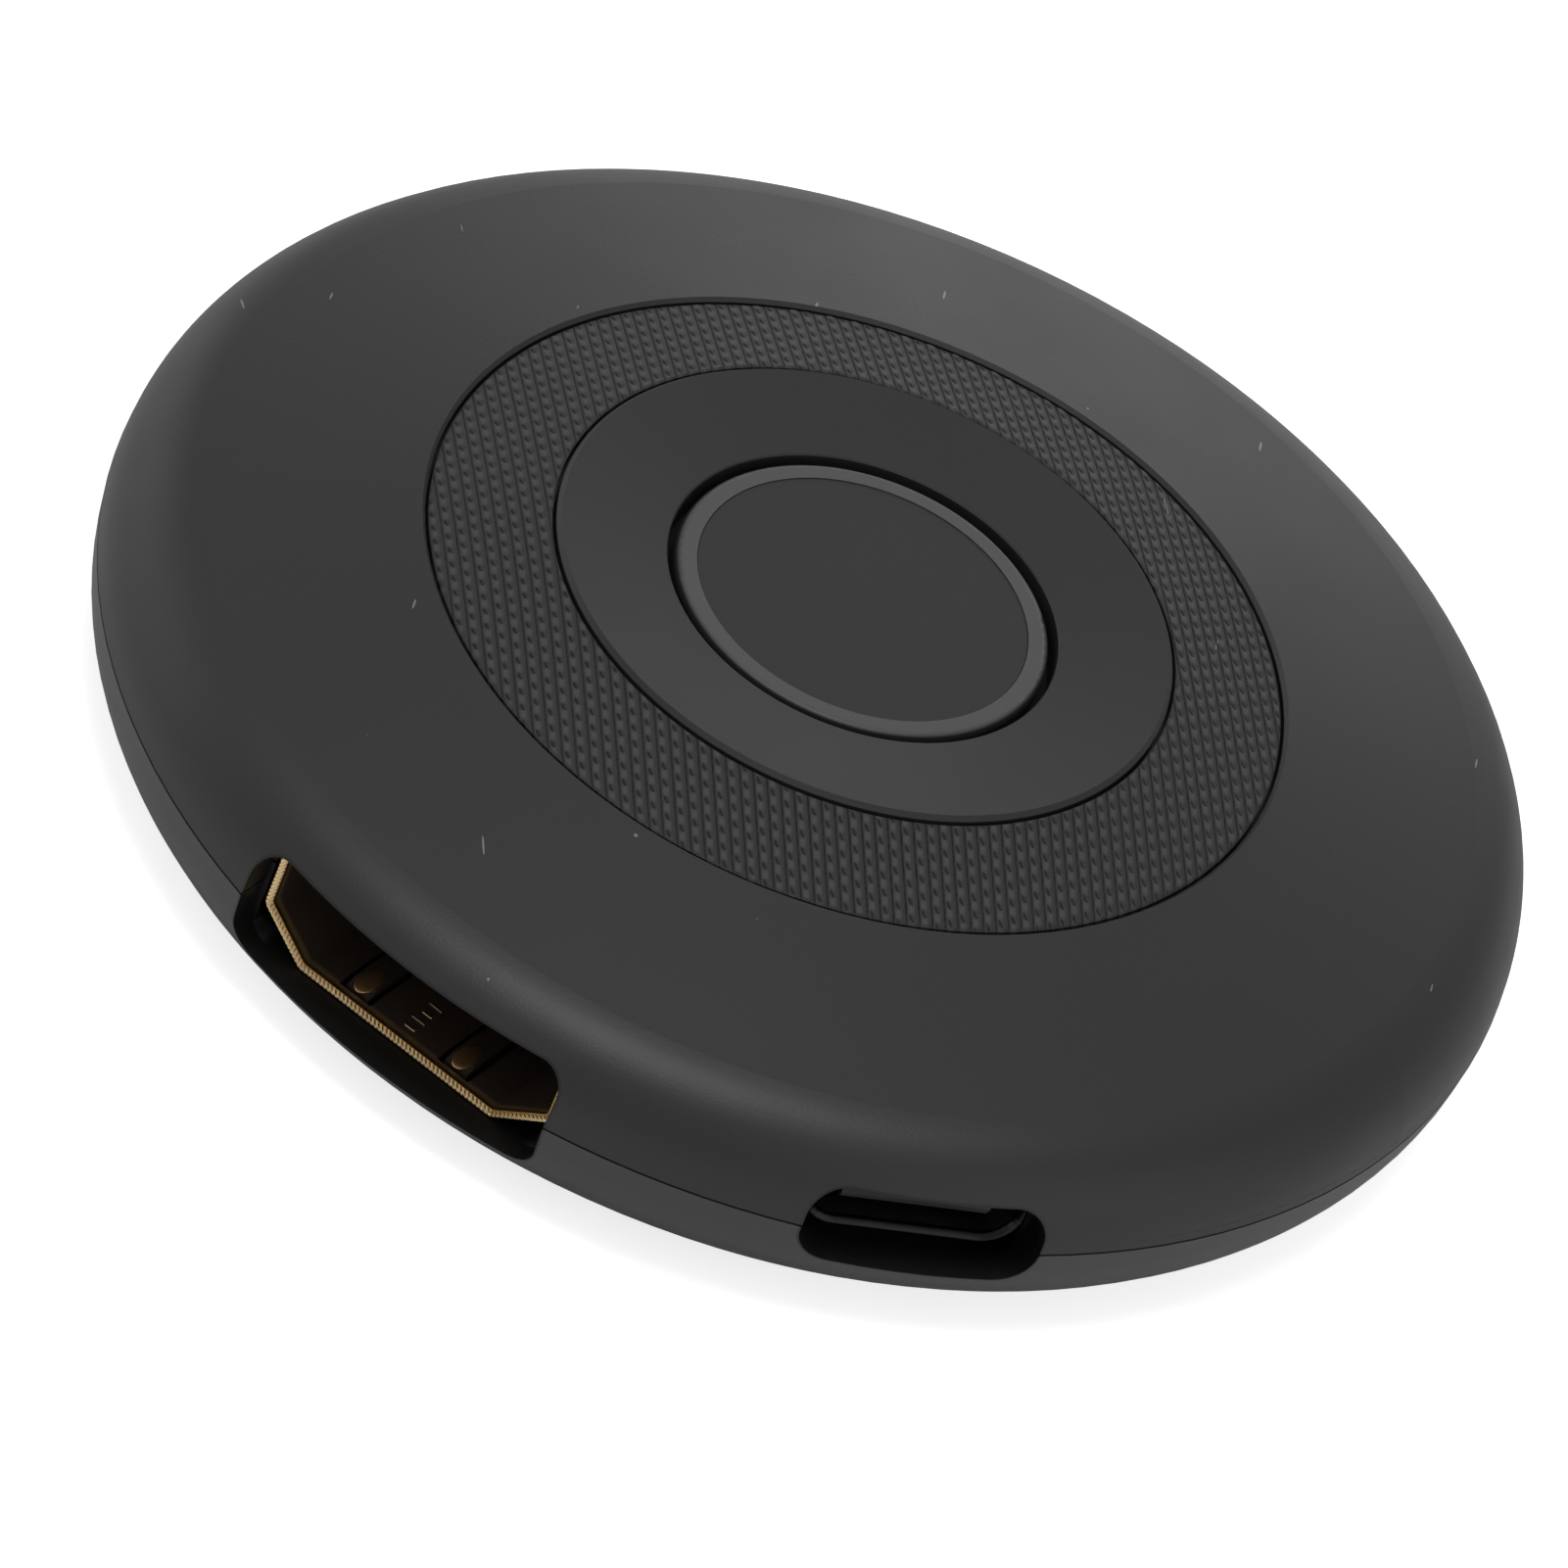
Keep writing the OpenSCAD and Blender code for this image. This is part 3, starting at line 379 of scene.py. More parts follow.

# %% [markdown]
# ## Black mouldings
# The covers, the pillow ring, the centre panel and the button's face are the same plastic from
# different moulds, so one function makes them all: a dark colour, a grain of its own size and
# depth, slow mottling in the roughness, the dust on top, and painted shade in the covers' socket
# openings. The pillow ring is the roughest and the face is the smoothest. The lower cover is a
# paler black than the upper one: painted light, from the white floor that lights it from below.
# The ring also gets a painted highlight on its crests and painted shade in its gaps.

# %% Black mouldings
DUST_GREY = (0.45, 0.45, 0.45)
# Painted shade inside the socket openings.
MOUTH_SHADE_BLACK = (0.004, 0.0035, 0.0035)
# Painted shade for the pillow gaps and for the button rim's side.
PAINTED_SHADE_BLACK = (0.002, 0.002, 0.002)
# Painted highlight on the pillows' crests.
CREST_HIGHLIGHT_GREY = (0.065, 0.065, 0.066)
GAP_SHADE_STRENGTH = 0.75
MARK_STRENGTH = 0.42
HAIR_CELL = 2.4 * MM
HAIR_WIDTH = 0.07 * MM
HAIR_LEANS_AND_STRETCHES = ((2.4, 0.08), (2.7, 0.14))


def black_moulding(name, colour, roughness, grain_size, grain_depth, dust_share, mouths=(),
                   shine=0.5):
    material, shader = new_material(name, ior=1.5, specular_ior_level=shine)
    tree = material.node_tree
    surface = use_group(tree, grain, grain_size=grain_size)
    marks = use_group(tree, dust, share=dust_share)["Mask"]
    for lean, stretch in HAIR_LEANS_AND_STRETCHES:
        hairs = use_group(tree, dust, share=dust_share, cell_size=HAIR_CELL,
                          speck_size=HAIR_WIDTH, stretch=stretch, lean=lean)["Mask"]
        marks = math_node(tree, "MAXIMUM", marks, hairs)
    marked = math_node(tree, "MULTIPLY", marks, MARK_STRENGTH)
    mixed = mix_colours(tree, marked, colour, DUST_GREY)
    # Painted shade: the walls of the socket openings are mixed to near black.
    for opening in mouths:
        mixed = mix_colours(tree, use_group(tree, mouth, **opening)["Mask"], mixed, MOUTH_SHADE_BLACK)
    tree.links.new(mixed, shader.inputs["Base Color"])
    swing_roughness(tree, shader, surface["Mottle"], roughness, 0.05)
    add_bump(tree, shader, surface["Height"], 0.35, grain_depth)
    return material


def paint_pillow_shading(material):
    """Paints a highlight on the pillows' crests and shade in their gaps, over the moulding's own
    colour.
    """
    tree = material.node_tree
    colour = tree.nodes["Principled BSDF"].inputs["Base Color"]
    masks = use_group(tree, gaps)
    # Painted highlight on the crests, then painted shade in the gaps.
    crest_highlight = mix_colours(tree, masks["Crest"], colour.links[0].from_socket, CREST_HIGHLIGHT_GREY)
    gap_shade = math_node(tree, "MULTIPLY", masks["Mask"], GAP_SHADE_STRENGTH)
    tree.links.new(mix_colours(tree, gap_shade, crest_highlight, PAINTED_SHADE_BLACK), colour)


cover_finish = black_moulding("cover_black", (0.0215, 0.0215, 0.022), 0.47,
                              0.14 * MM, 0.02 * MM, 0.2, mouths=(VIDEO_MOUTH, POWER_MOUTH))
panel_finish = black_moulding("panel_black", (0.018, 0.018, 0.019), 0.5,
                              0.1 * MM, 0.01 * MM, 0.1)
# The lower cover's paler black is painted light from the floor below.
floor_lit_base_finish = black_moulding("base_black_floor_lit", (0.05, 0.05, 0.0505), 0.47,
                             0.14 * MM, 0.02 * MM, 0.2, mouths=(VIDEO_MOUTH, POWER_MOUTH))
ring_finish = black_moulding("pillow_black", (0.033, 0.033, 0.034), 0.6,
                             0.08 * MM, 0.006 * MM, 0.05, shine=0.3)
face_finish = black_moulding("face_black", (0.015, 0.015, 0.0155), 0.46,
                             0.1 * MM, 0.006 * MM, 0.1)
paint_pillow_shading(ring_finish)
give(cover_finish, "top_cover")
give(floor_lit_base_finish, "bottom_cover")
give(panel_finish, "centre_panel")
give(face_finish, "button_face")
mouldings = (cover_finish, floor_lit_base_finish, panel_finish, ring_finish, face_finish)
print("black mouldings:", [material.name for material in mouldings])

# %% [markdown]
# ## Button rim
# The thin ring round the button's face is a smoked light guide that glows when the adapter is on.
# Unlit, it is a dark grey that scatters a little light inside, so it looks paler and softer than
# the black round it. Its side, up over the rounded edge, gets painted shade, near black and
# rough, so that the gap round the button stays dark.

# %% Button rim
SIDE_SHADE_START = 0.01 * MM
SIDE_SHADE_FULL = 0.1 * MM
rim_finish, rim_shader = new_material("rim_grey", ior=1.49, subsurface_weight=0.15,
                                      subsurface_scale=0.5 * MM)
rim_tree = rim_finish.node_tree
rim_surface = use_group(rim_tree, grain, grain_size=0.2 * MM)
rim_top = max(v.co.z for v in nodes["button_cap"].data.vertices)
rim_place = add_node(rim_tree, "ShaderNodeSeparateXYZ", {0: object_place(rim_tree)})
# Painted shade on the rim's side, below its top.
rim_side_shade = add_node(rim_tree, "ShaderNodeMapRange",
                    {"Value": rim_place.outputs["Z"], "From Min": rim_top - SIDE_SHADE_FULL,
                     "From Max": rim_top - SIDE_SHADE_START, "To Min": 1.0, "To Max": 0.0})
rim_grey = mix_colours(rim_tree, rim_surface["Mottle"], (0.075, 0.075, 0.077),
                       (0.09, 0.09, 0.092))
rim_tree.links.new(mix_colours(rim_tree, rim_side_shade.outputs["Result"], rim_grey, PAINTED_SHADE_BLACK),
                   rim_shader.inputs["Base Color"])
swing_roughness(rim_tree, rim_shader, rim_side_shade.outputs["Result"], 0.65, 0.25)
give(rim_finish, "button_cap")
print("rim finish on", nodes["button_cap"].name)

# %% [markdown]
# ## Rolled and plated sheet
# The socket shells, contacts, cans and the switch's frame are thin sheet that was rolled, plated
# and stamped. Rolling leaves fine parallel streaks, so one group stretches a noise along one
# direction and gives it as a height and as a change of roughness. Each metal has its own colour
# and its own amount of tarnish. The video shell's plating is bright at its mouth only: further
# in, painted shade darkens it to brown-black and makes it less metallic.

# %% Sheet metal
def make_streaks():
    group, given, end = new_group(
        "rolled_streaks",
        {"Streak width": 0.03 * MM, "Stretch": 12.0},
        ("Height", "Tarnish"))
    place = object_place(group)
    squeeze = math_node(group, "DIVIDE", 1.0, given["Stretch"])
    along = add_node(group, "ShaderNodeCombineXYZ", {"X": squeeze, "Y": 1.0, "Z": 1.0}).outputs[0]
    drawn = add_node(group, "ShaderNodeVectorMath", {0: place, 1: along},
                     operation="MULTIPLY").outputs[0]
    scale = math_node(group, "DIVIDE", 1.0, given["Streak width"])
    streak = add_node(group, "ShaderNodeTexNoise", {"Vector": drawn, "Scale": scale})
    cloud = add_node(group, "ShaderNodeTexNoise",
                     {"Vector": place, "Scale": 1 / (1.5 * MM), "Detail": 4.0})
    group.links.new(streak.outputs["Fac"], end.inputs["Height"])
    group.links.new(cloud.outputs["Fac"], end.inputs["Tarnish"])
    return group


streaks = make_streaks()
SHADE_START_DEPTH = 0.1 * MM
SHADE_FULL_DEPTH = 0.5 * MM


def plated_sheet(name, bright, dull, roughness, deep_shade=None):
    material, shader = new_material(name, metallic=1.0)
    tree = material.node_tree
    surface = use_group(tree, streaks)
    colour = mix_colours(tree, surface["Tarnish"], bright, dull)
    # Painted shade further inside the video shell: darker colour and less metallic.
    if deep_shade:
        inward = add_node(tree, "ShaderNodeSeparateXYZ", {0: object_place(tree)}).outputs["Y"]
        depth = add_node(tree, "ShaderNodeMapRange",
                         {"Value": inward, "From Min": VIDEO_MOUTH_Y + SHADE_START_DEPTH,
                          "From Max": VIDEO_MOUTH_Y + SHADE_FULL_DEPTH}).outputs["Result"]
        colour = mix_colours(tree, depth, colour, deep_shade)
        tree.links.new(math_node(tree, "SUBTRACT", 1.0, depth), shader.inputs["Metallic"])
    tree.links.new(colour, shader.inputs["Base Color"])
    swing_roughness(tree, shader, surface["Height"], roughness, 0.08)
    add_bump(tree, shader, surface["Height"], 0.3, 0.003 * MM)
    return material


gold_sheet = plated_sheet("gold_plate", (0.62, 0.42, 0.18), (0.35, 0.22, 0.09), 0.3,
                          deep_shade=(0.05, 0.036, 0.028))
contact_gold = plated_sheet("contact_gold", (0.85, 0.66, 0.36), (0.7, 0.5, 0.25), 0.22)
dark_steel = plated_sheet("dark_nickel", (0.32, 0.31, 0.31), (0.2, 0.19, 0.19), 0.3)
tin_can = plated_sheet("tin_plate", (0.75, 0.75, 0.73), (0.58, 0.58, 0.56), 0.35)
spring_steel = plated_sheet("spring_steel", (0.7, 0.7, 0.7), (0.5, 0.5, 0.5), 0.28)
screw_steel = plated_sheet("zinc_steel", (0.55, 0.56, 0.58), (0.4, 0.41, 0.44), 0.38)
give(gold_sheet, "video_shell")
give(contact_gold, "video_contacts", "power_contacts")
give(dark_steel, "power_shell")
give(tin_can, "radio_shield", "switch_terminals", "crystals")
give(spring_steel, "switch_dome", "switch_cover")
give(screw_steel, "cover_screws")
print("sheet metals done")

# %% [markdown]
# ## The rest of the inside
# The board, its chips and the foot are seldom seen, but a model is turned and opened, so
# each gets its own finish. The board's solder mask shows the copper tracks under it as
# slightly lighter lines, which a brick texture gives; the chips are finely sanded epoxy;
# the foot is a soft rubber; the ferrite and the ceramic are grainy.

# %% Board, chips and foot
def grainy(name, colour, second, roughness, grain_size, depth=0.01 * MM, **settings):
    material, shader = new_material(name, **settings)
    tree = material.node_tree
    surface = use_group(tree, grain, grain_size=grain_size, mottle_size=2 * MM)
    tree.links.new(mix_colours(tree, surface["Mottle"], colour, second),
                   shader.inputs["Base Color"])
    swing_roughness(tree, shader, surface["Mottle"], roughness, 0.06)
    add_bump(tree, shader, surface["Height"], 0.4, depth)
    return material


give(grainy("insulator_black", (0.012, 0.011, 0.011), (0.018, 0.016, 0.015), 0.45, 0.08 * MM),
     "video_insulator", "power_insulator", "switch_body")
give(grainy("chip_epoxy", (0.02, 0.02, 0.022), (0.03, 0.03, 0.032), 0.55, 0.05 * MM),
     "main_chip", "memory_chips", "storage_chip", "radio_chip", "power_chip")
give(grainy("foot_rubber", (0.02, 0.02, 0.02), (0.03, 0.03, 0.03), 0.75, 0.15 * MM,
            depth=0.03 * MM), "foot_ring")
give(grainy("silicone_pad", (0.3, 0.36, 0.42), (0.38, 0.44, 0.5), 0.7, 0.2 * MM), "thermal_pad")
give(grainy("sink_aluminium", (0.72, 0.73, 0.75), (0.62, 0.63, 0.65), 0.4, 0.06 * MM,
            metallic=1.0), "heat_sink")
give(grainy("antenna_ceramic", (0.75, 0.73, 0.66), (0.82, 0.8, 0.74), 0.5, 0.1 * MM), "antenna")
give(grainy("drum_ferrite", (0.05, 0.05, 0.055), (0.08, 0.08, 0.085), 0.5, 0.1 * MM), "inductors")
give(grainy("plunger_nylon", (0.03, 0.03, 0.032), (0.045, 0.045, 0.048), 0.5, 0.1 * MM),
     "switch_plunger")
give(grainy("lamp_resin", (0.8, 0.8, 0.7), (0.85, 0.83, 0.75), 0.2, 0.3 * MM), "status_leds")

CAP_START = 0.3


def tin_the_ends(name, body_colour, length):
    """Gives each small part of a node a glazed body and a tinned cap on either end."""
    mesh = nodes[name].data
    give(grainy(name + "_body", body_colour, tuple(c * 1.3 for c in body_colour), 0.4, 0.1 * MM),
         name)
    mesh.materials.append(tin_can)
    work = bmesh.new()
    work.from_mesh(mesh)
    left = set(work.verts)
    while left:
        island, reach = set(), [left.pop()]
        while reach:
            corner = reach.pop()
            island.add(corner)
            reach += [edge.other_vert(corner) for edge in corner.link_edges
                      if edge.other_vert(corner) not in island]
        left -= island
        middle = (min(v.co.x for v in island) + max(v.co.x for v in island)) / 2
        for face in {face for corner in island for face in corner.link_faces}:
            if abs(face.calc_center_median().x - middle) > length * CAP_START:
                face.material_index = 1
    work.to_mesh(mesh)
    work.free()


tin_the_ends("capacitors", (0.36, 0.27, 0.17), 1.6 * MM)
tin_the_ends("resistors", (0.03, 0.03, 0.035), 1.0 * MM)

board_finish, board_shader = new_material("solder_mask", roughness=0.3, coat_weight=0.4)
board_tree = board_finish.node_tree
tracks = add_node(board_tree, "ShaderNodeTexBrick",
                  {"Vector": object_place(board_tree), "Scale": 1 / (2.4 * MM),
                   "Color1": (0.008, 0.008, 0.009, 1), "Color2": (0.01, 0.01, 0.011, 1),
                   "Mortar": (0.02, 0.019, 0.017, 1), "Mortar Size": 0.05})
board_tree.links.new(tracks.outputs["Color"], board_shader.inputs["Base Color"])
give(board_finish, "main_board")
print("finishes for the inside done")

# %% [markdown]
# ## Pillow ring
# The ring between the cover and the panel is the adapter's one ornament: straight
# columns of small pillows, parted by fine grooves. A short slanted slit parts each pillow
# from the next, a little to one side of the column's middle, and each column starts about
# four tenths of a pillow later than the last. The ring's edges simply cut the columns
# off, as when a textured sheet is punched out.
#
# A bump texture would flatten at a low angle, and copies of one pillow would not be
# cut at the edges. So the ring is rebuilt as one fine mesh, and each of its points is
# lifted by a formula of where it lies among the columns. It replaces the plain CAD ring.

# %% Pillow ring
PILLOW_HEIGHT = 0.09 * MM
FLAT_SHARE = 0.5
RING_STEPS_ROUND = 3600
RING_STEPS_ACROSS = 140
EDGE_FADE = 0.1 * MM
INNER_TOP_REACH = 0.15 * MM
OUTER_TOP_REACH = 0.05 * MM
LOW_REACH = 0.01 * MM
CREASE_ANGLE = math.radians(40)


def pillow_height(x, y):
    """Height of the pillows, from 0 in a groove or slit to 1 on a crest."""
    away = x * math.cos(COLUMN_AZIMUTH) + y * math.sin(COLUMN_AZIMUTH)
    ahead = y * math.cos(COLUMN_AZIMUTH) - x * math.sin(COLUMN_AZIMUTH)
    column = np.round(away / COLUMN_PITCH)
    across = away - column * COLUMN_PITCH
    row = ahead / ROW_PITCH - ROW_SHIFT * column
    along = (row - np.round(row)) * ROW_PITCH
    groove = np.clip((COLUMN_PITCH / 2 - np.abs(across)) / GROOVE_HALF_WIDTH, 0, 1)
    aside = (across - SLIT_ASIDE - SLIT_LEAN * along) / SLIT_HALF_WIDTH
    slit = np.clip(1 - aside ** 2, 0, 1) * np.clip(1 - (along / SLIT_HALF_LENGTH) ** 4, 0, 1)
    crown = np.abs(np.sin(math.pi * row)) * (1 - (2 * (across - SLIT_ASIDE) / COLUMN_PITCH) ** 2)
    return groove ** 0.5 * (1 - slit) * (FLAT_SHARE + (1 - FLAT_SHARE) * np.clip(crown, 0, 1))


def new_piece(mesh, material):
    """An object with smooth shading, where edges sharper than the crease angle stay crisp."""
    piece = bpy.data.objects.new(mesh.name, mesh)
    bpy.context.scene.collection.objects.link(piece)
    mesh.materials.append(material)
    work = bmesh.new()
    work.from_mesh(mesh)
    bmesh.ops.recalc_face_normals(work, faces=work.faces)
    work.to_mesh(mesh)
    work.free()
    mesh.shade_smooth()
    mesh.set_sharp_from_angle(angle=CREASE_ANGLE)
    return piece


def build_pillow_ring():
    mesh = nodes["texture_ring"].data
    points = np.array([v.co for v in mesh.vertices])
    radius = np.hypot(points[:, 0], points[:, 1])
    inner, outer = radius.min(), radius.max()
    top_in = points[radius < inner + INNER_TOP_REACH, 2].max()
    top_out = points[radius > outer - OUTER_TOP_REACH, 2].max()
    low_in = points[radius < inner + LOW_REACH, 2].min()
    low_out = points[radius > outer - LOW_REACH, 2].min()
    share = np.linspace(0, 1, RING_STEPS_ACROSS)
    turn = np.linspace(0, 2 * math.pi, RING_STEPS_ROUND, endpoint=False)
    r = inner + (outer - inner) * share[:, None] + 0 * turn[None, :]
    x, y = r * np.cos(turn), r * np.sin(turn)
    edge = np.clip(np.minimum(r - inner, outer - r) / EDGE_FADE, 0, 1)
    plain = top_in + (top_out - top_in) * share[:, None]
    z = plain + PILLOW_HEIGHT * (pillow_height(x, y) * edge - 0.5)
    loops = [np.stack([x, y, z], 2).reshape(-1, 3)]
    for radius_now, low in ((outer, low_out), (inner, low_in)):
        loops.append(np.stack([radius_now * np.cos(turn), radius_now * np.sin(turn),
                               np.full_like(turn, low)], 1))
    rows = RING_STEPS_ACROSS + 2
    first = np.arange(rows)[:, None] * RING_STEPS_ROUND
    here = first + np.arange(RING_STEPS_ROUND)
    beside = first + np.roll(np.arange(RING_STEPS_ROUND), -1)
    after = np.roll(np.arange(rows), -1)
    faces = np.stack([here, here[after], beside[after], beside], 2).reshape(-1, 4)
    built = bpy.data.meshes.new("pillow_ring")
    built.from_pydata(np.concatenate(loops).tolist(), [], faces.tolist())
    return new_piece(built, ring_finish)


pillow_ring = build_pillow_ring()
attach(pillow_ring, "housing")
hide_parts("texture_ring")
print("pillow ring:", len(pillow_ring.data.polygons), "faces")

# %% [markdown]
# ## Gold lip and spring crests
# The video shell's edge is flared outwards into a fine milled lip that guides the plug
# in, and it is the brightest thing on the adapter. It could be a bump on the sheet's
# edge, but the edge is only 0.3 mm wide and would stay flat in outline. So a flat band
# runs round the mouth, tilted to face both outwards and into the opening, and it swells
# and shrinks along the way to make the slanted ribs. The power socket's shell has a
# plainer one, rolled and without ribs. Each of the four spring fingers ends in a pressed
# crest, a long low blister, that grips the plug. Between the two lower fingers the ends
# of the sheet are locked by two dovetails, and their raised edges catch the light as two
# small outlines, the seam heads.

# %% Gold lip and spring crests
SHELL_CORNERS = np.array([(-4.9, -2.575), (4.9, -2.575), (7.3, -0.825), (7.3, 2.575),
                          (-7.3, 2.575), (-7.3, -0.825)]) * MM
RIB_PITCH = 0.2 * MM
RIB_LEAN = 0.87
RIB_HEIGHT = 0.035 * MM
LIP_HALF_WIDTH = 0.2 * MM
LIP_HALF_THICKNESS = 0.09 * MM
LIP_TILT = math.radians(62)
POWER_LIP_TILT = math.radians(45)
LIP_SIDES = 20
LIP_INSET = 0.15 * MM
LIP_STEP = 0.02 * MM
CORNER_POINTS = 9
POWER_CORNERS = np.array([(-4.47, -1.6), (4.47, -1.6), (4.47, 1.6), (-4.47, 1.6)]) * MM
POWER_LIP_HALF_WIDTH = 0.23 * MM
SEAM_PLACES = [VIDEO_MOUTH_Y + 1.05 * MM, VIDEO_MOUTH_Y + 2.2 * MM]
SEAM_CORNERS = np.array([(-0.25, -0.35), (0.25, -0.35), (0.45, 0.35), (-0.45, 0.35)]) * MM
SEAM_HEIGHT = VIDEO_MIDDLE - 2.27 * MM
SEAM_ROUNDING = 0.12 * MM
SEAM_STEP = 0.04 * MM
SEAM_NARROWING = 0.86
SEAM_RISE = 0.05 * MM
SEAM_SHEET = 0.04 * MM
CREST_PLACES = [(side * 2.5 * MM, VIDEO_MOUTH_Y + 1.25 * MM, VIDEO_MIDDLE + up * 2.12 * MM)
                for side in (-1, 1) for up in (-1, 1)]
CREST_HALF_SIZES = (0.44 * MM, 0.85 * MM, 0.15 * MM)


def rounded_loop(corners, inset, radius, step):
    """Evenly spaced points round a polygon that is moved inwards and rounded."""
    points = []
    for before, corner, after in zip(np.roll(corners, 1, 0), corners, np.roll(corners, -1, 0)):
        a = (before - corner) / np.linalg.norm(before - corner)
        b = (after - corner) / np.linalg.norm(after - corner)
        half = math.acos(a @ b) / 2
        middle = corner + (a + b) / np.linalg.norm(a + b) * (inset + radius) / math.sin(half)
        feet = [corner + side * ((middle - corner) @ side) - middle for side in (a, b)]
        for share in np.linspace(0, 1, CORNER_POINTS):
            spoke = feet[0] * (1 - share) + feet[1] * share
            points.append(middle + radius * spoke / np.linalg.norm(spoke))
    points = np.array(points + points[:1])
    walked = np.concatenate([[0], np.cumsum(np.linalg.norm(np.diff(points, axis=0), axis=1))])
    places = np.linspace(0, walked[-1], round(walked[-1] / step), endpoint=False)
    return np.stack([np.interp(places, walked, points[:, i]) for i in (0, 1)], 1), places


def tube_faces(points):
    """Faces of a closed tube, given its rings of points."""
    rings, around = points.shape[:2]
    first = np.arange(rings)[:, None] * around
    here = first + np.arange(around)
    beside = first + np.roll(np.arange(around), -1)
    after = np.roll(np.arange(rings), -1)
    return np.stack([here, here[after], beside[after], beside], 2).reshape(-1, 4)


def build_lip(name, material, corners, rounding, middle, mouth_y, turn, tilt, half_width,
              rib_height):
    path, places = rounded_loop(corners, LIP_INSET, rounding, LIP_STEP)
    ahead = np.roll(path, -1, 0) - np.roll(path, 1, 0)
    ahead /= np.linalg.norm(ahead, axis=1)[:, None]
    outward = np.stack([ahead[:, 1], -ahead[:, 0]], 1)
    spin = np.linspace(0, 2 * math.pi, LIP_SIDES, endpoint=False)
    wide = half_width * np.cos(spin)
    phase = 2 * math.pi * (places[:, None] - RIB_LEAN * wide[None, :]) / RIB_PITCH
    thick = LIP_HALF_THICKNESS * np.sin(spin) + rib_height * np.cos(phase) * np.abs(np.sin(spin))
    aside = wide * math.cos(tilt) - thick * math.sin(tilt)
    x = path[:, :1] + outward[:, :1] * aside
    y = mouth_y - wide * math.sin(tilt) - thick * math.cos(tilt)
    z = path[:, 1:] + outward[:, 1:] * aside + middle
    rings = np.stack([x * math.cos(turn) - y * math.sin(turn),
                      x * math.sin(turn) + y * math.cos(turn), z], 2)
    mesh = bpy.data.meshes.new(name)
    mesh.from_pydata(rings.reshape(-1, 3).tolist(), [], tube_faces(rings).tolist())
    return new_piece(mesh, material)


def build_crests():
    work = bmesh.new()
    for place in CREST_PLACES:
        shape = Matrix.Translation(place) @ Matrix.Diagonal((*CREST_HALF_SIZES, 1))
        bmesh.ops.create_icosphere(work, subdivisions=4, radius=1, matrix=shape)
    mesh = bpy.data.meshes.new("spring_crests")
    work.to_mesh(mesh)
    work.free()
    return new_piece(mesh, crest_gold)


def build_seam():
    work = bmesh.new()
    path = rounded_loop(SEAM_CORNERS, 0.0, SEAM_ROUNDING, SEAM_STEP)[0]
    for place in SEAM_PLACES:
        ring = [work.verts.new((x, y + place, SEAM_HEIGHT)) for x, y in path]
        rim = bmesh.ops.extrude_edge_only(
            work, edges=[work.edges.new(pair) for pair in zip(ring, ring[1:] + ring[:1])])
        for corner in (v for v in rim["geom"] if isinstance(v, bmesh.types.BMVert)):
            corner.co.x *= SEAM_NARROWING
            corner.co.y = place + (corner.co.y - place) * SEAM_NARROWING
            corner.co.z += SEAM_RISE
    mesh = bpy.data.meshes.new("seam_heads")
    work.to_mesh(mesh)
    work.free()
    piece = new_piece(mesh, lip_gold)
    piece.modifiers.new("sheet", "SOLIDIFY").thickness = SEAM_SHEET
    return piece


lip_gold = plated_sheet("lip_gold", (1.0, 0.76, 0.44), (0.85, 0.6, 0.3), 0.28)
# The crests keep bright gold, without the painted shade of the shell round them.
crest_gold = plated_sheet("crest_gold", (0.9, 0.6, 0.28), (0.7, 0.44, 0.2), 0.45)
# The power lip is the edge of the same nickel sheet as its shell, darkened to near black as
# painted shade of the opening.
shaded_lip_nickel = plated_sheet("shaded_lip_nickel", (0.04, 0.036, 0.036), (0.025, 0.022, 0.022), 0.25)
video_lip = build_lip("video_lip", lip_gold, SHELL_CORNERS, rounding=0.4 * MM,
                      middle=VIDEO_MIDDLE, mouth_y=VIDEO_MOUTH_Y, turn=0.0, tilt=LIP_TILT,
                      half_width=LIP_HALF_WIDTH, rib_height=RIB_HEIGHT)
power_lip = build_lip("power_lip", shaded_lip_nickel, POWER_CORNERS, rounding=1.4 * MM,
                      middle=POWER_MIDDLE, mouth_y=POWER_MOUTH_Y, turn=POWER_TURN,
                      tilt=POWER_LIP_TILT, half_width=POWER_LIP_HALF_WIDTH, rib_height=0.0)
for piece, slot in ((video_lip, "shell_gold"), (build_crests(), "shell_gold"),
                    (build_seam(), "shell_gold"), (power_lip, "shell_steel")):
    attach(piece, "housing")
    print(piece.name, len(piece.data.polygons), "faces")

# %% [markdown]
# ## Floor, lights and surroundings
# The puck stands on a plain white floor in a bright tent, lit by four large soft lamps.
# The strongest hangs overhead and lights the top. A low one behind gives the pale sheen
# on the far rim, and two low ones at the left and the right shape the side wall. The
# white floor lights the curve under the parting line. The floor and the sky behind it
# are white to the camera, and the floor keeps the puck's soft shadow.

# %% Floor and lights
FLOOR_HALF_WIDTH = 3.0
FLOOR_GLOW = 0.75
SKY_LIGHT = 0.36
SKY_SEEN = 1.0
LAMP_PLACES_SIZES_POWERS = {
    "key_lamp": ((0.0, -0.12, 0.9), 0.45, 2.9),
    "rim_lamp": ((-0.3, 0.9, 0.12), 0.6, 1.3),
    "left_lamp": ((-0.8, 0.05, 0.12), 0.9, 1.4),
    "right_lamp": ((0.8, -0.1, 0.2), 0.8, 0.8),
}


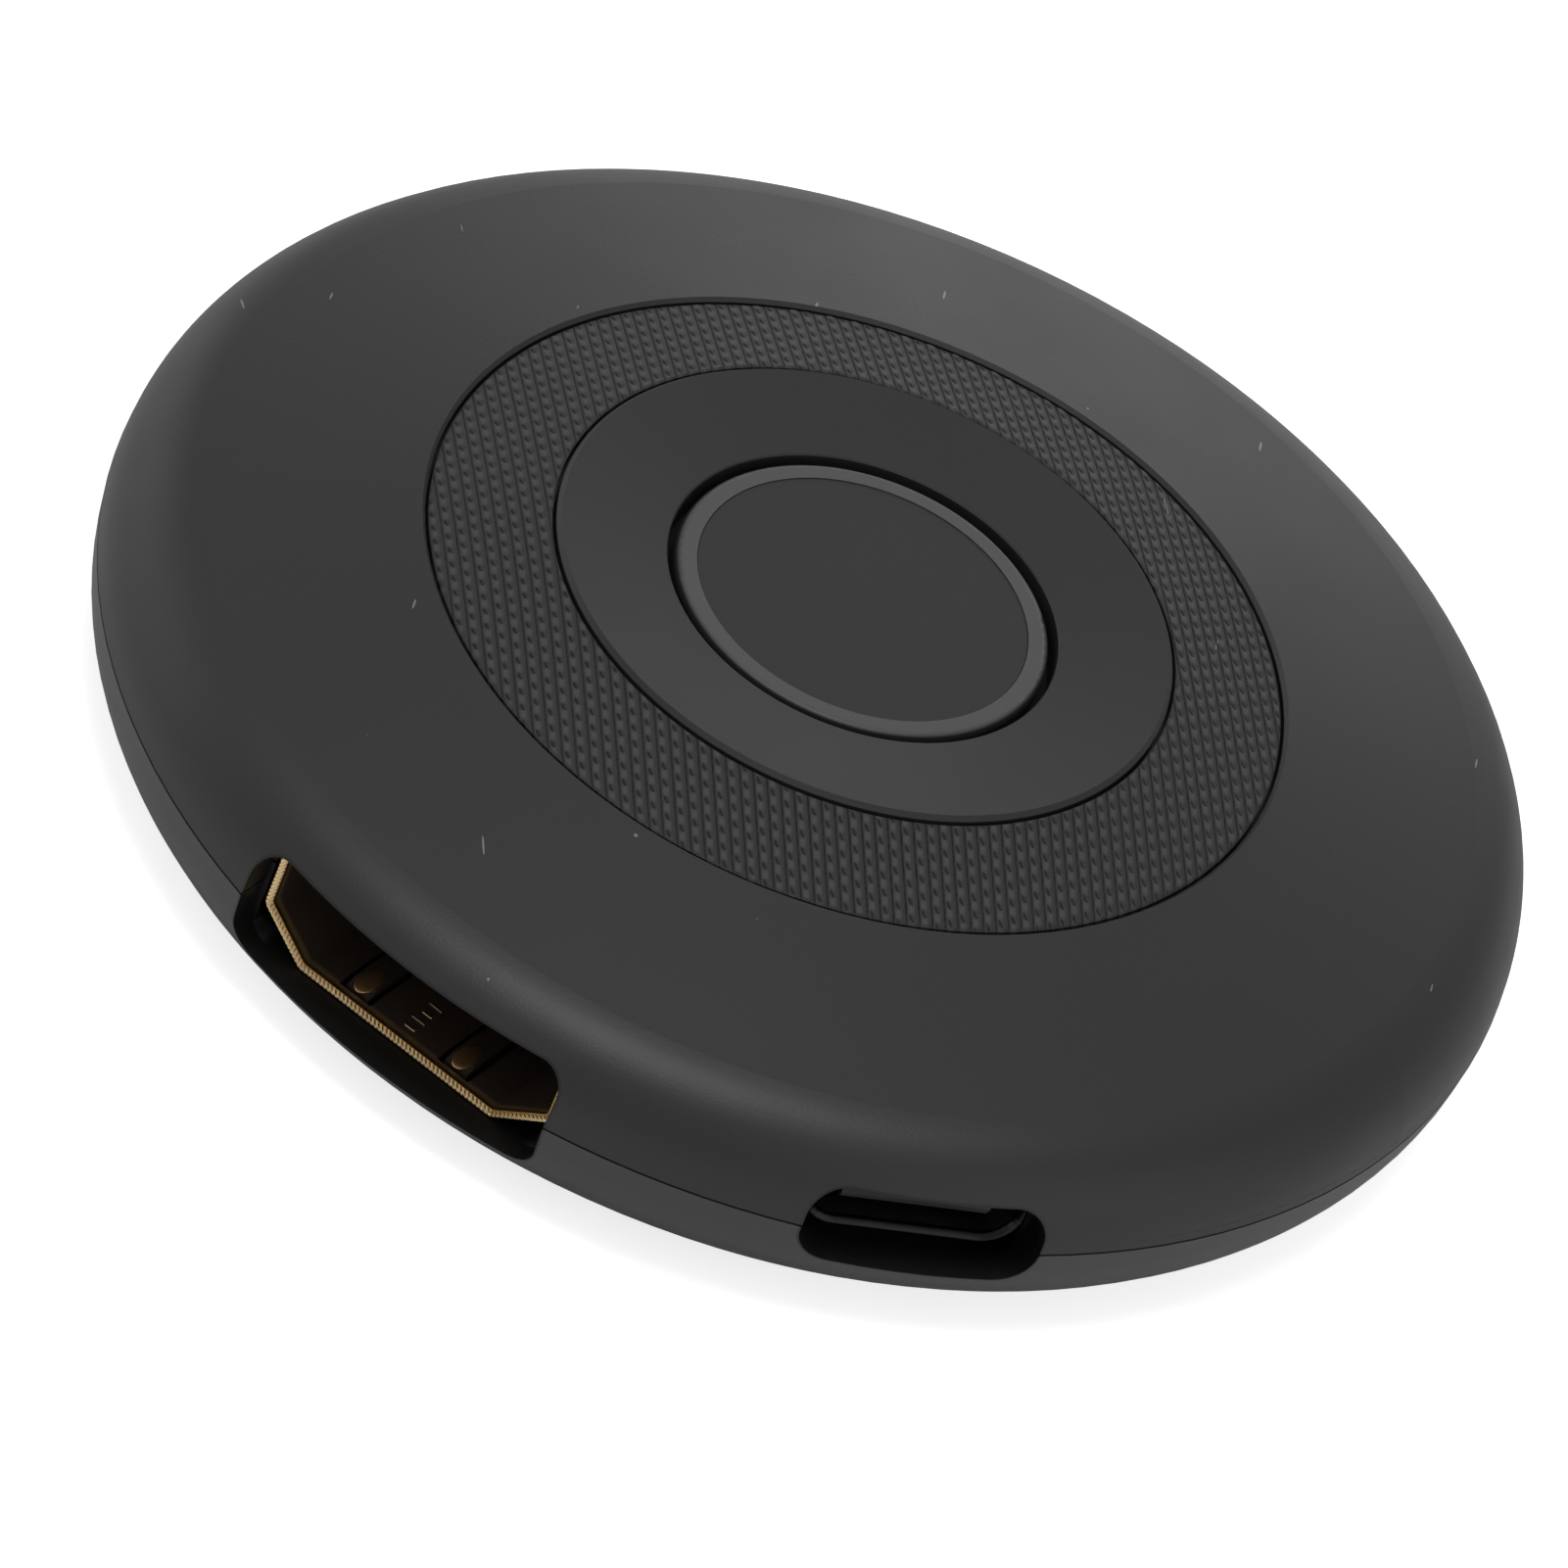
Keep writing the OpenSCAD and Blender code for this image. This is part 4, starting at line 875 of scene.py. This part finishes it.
def build_floor():
    half = FLOOR_HALF_WIDTH
    mesh = bpy.data.meshes.new("floor")
    mesh.from_pydata([(-half, -half, 0), (half, -half, 0), (half, half, 0), (-half, half, 0)],
                     [], [(0, 1, 2, 3)])
    floor = bpy.data.objects.new("floor", mesh)
    bpy.context.scene.collection.objects.link(floor)
    material, shader = new_material("floor_white", base_color=(0.86, 0.86, 0.86),
                                    roughness=0.9, specular_ior_level=0.0)
    tree = material.node_tree
    seen = add_node(tree, "ShaderNodeLightPath").outputs["Is Camera Ray"]
    strength = math_node(tree, "MULTIPLY", seen, FLOOR_GLOW)
    glow = add_node(tree, "ShaderNodeEmission", {"Strength": strength})
    both = add_node(tree, "ShaderNodeAddShader", {0: shader.outputs[0], 1: glow.outputs[0]})
    tree.links.new(both.outputs[0], tree.nodes["Material Output"].inputs["Surface"])
    mesh.materials.append(material)
    return floor


def build_world():
    world = bpy.data.worlds.new("studio")
    bpy.context.scene.world = world
    world.use_nodes = True
    tree = world.node_tree
    background = tree.nodes["Background"]
    background.inputs["Color"].default_value = (1, 1, 1, 1)
    seen = add_node(tree, "ShaderNodeLightPath")
    direct = math_node(tree, "MAXIMUM", seen.outputs["Is Camera Ray"],
                       seen.outputs["Is Transmission Ray"])
    strength = add_node(tree, "ShaderNodeMapRange",
                        {"Value": direct, "To Min": SKY_LIGHT, "To Max": SKY_SEEN})
    tree.links.new(strength.outputs["Result"], background.inputs["Strength"])


def soft_lamp(name, place, size, power):
    """A round lamp that points at the foot of the puck."""
    data = bpy.data.lights.new(name, "AREA")
    data.shape = "DISK"
    data.size = size
    data.energy = power
    lamp = bpy.data.objects.new(name, data)
    lamp.location = place
    aim = Vector((0, 0, 0)) - Vector(place)
    lamp.rotation_euler = aim.to_track_quat("-Z", "Y").to_euler()
    bpy.context.scene.collection.objects.link(lamp)
    return lamp


floor = build_floor()
build_world()
lamps = [soft_lamp(name, *settings) for name, settings in LAMP_PLACES_SIZES_POWERS.items()]
bpy.context.scene.view_settings.view_transform = "Standard"
print("lamps:", {lamp.name: lamp.data.energy for lamp in lamps})
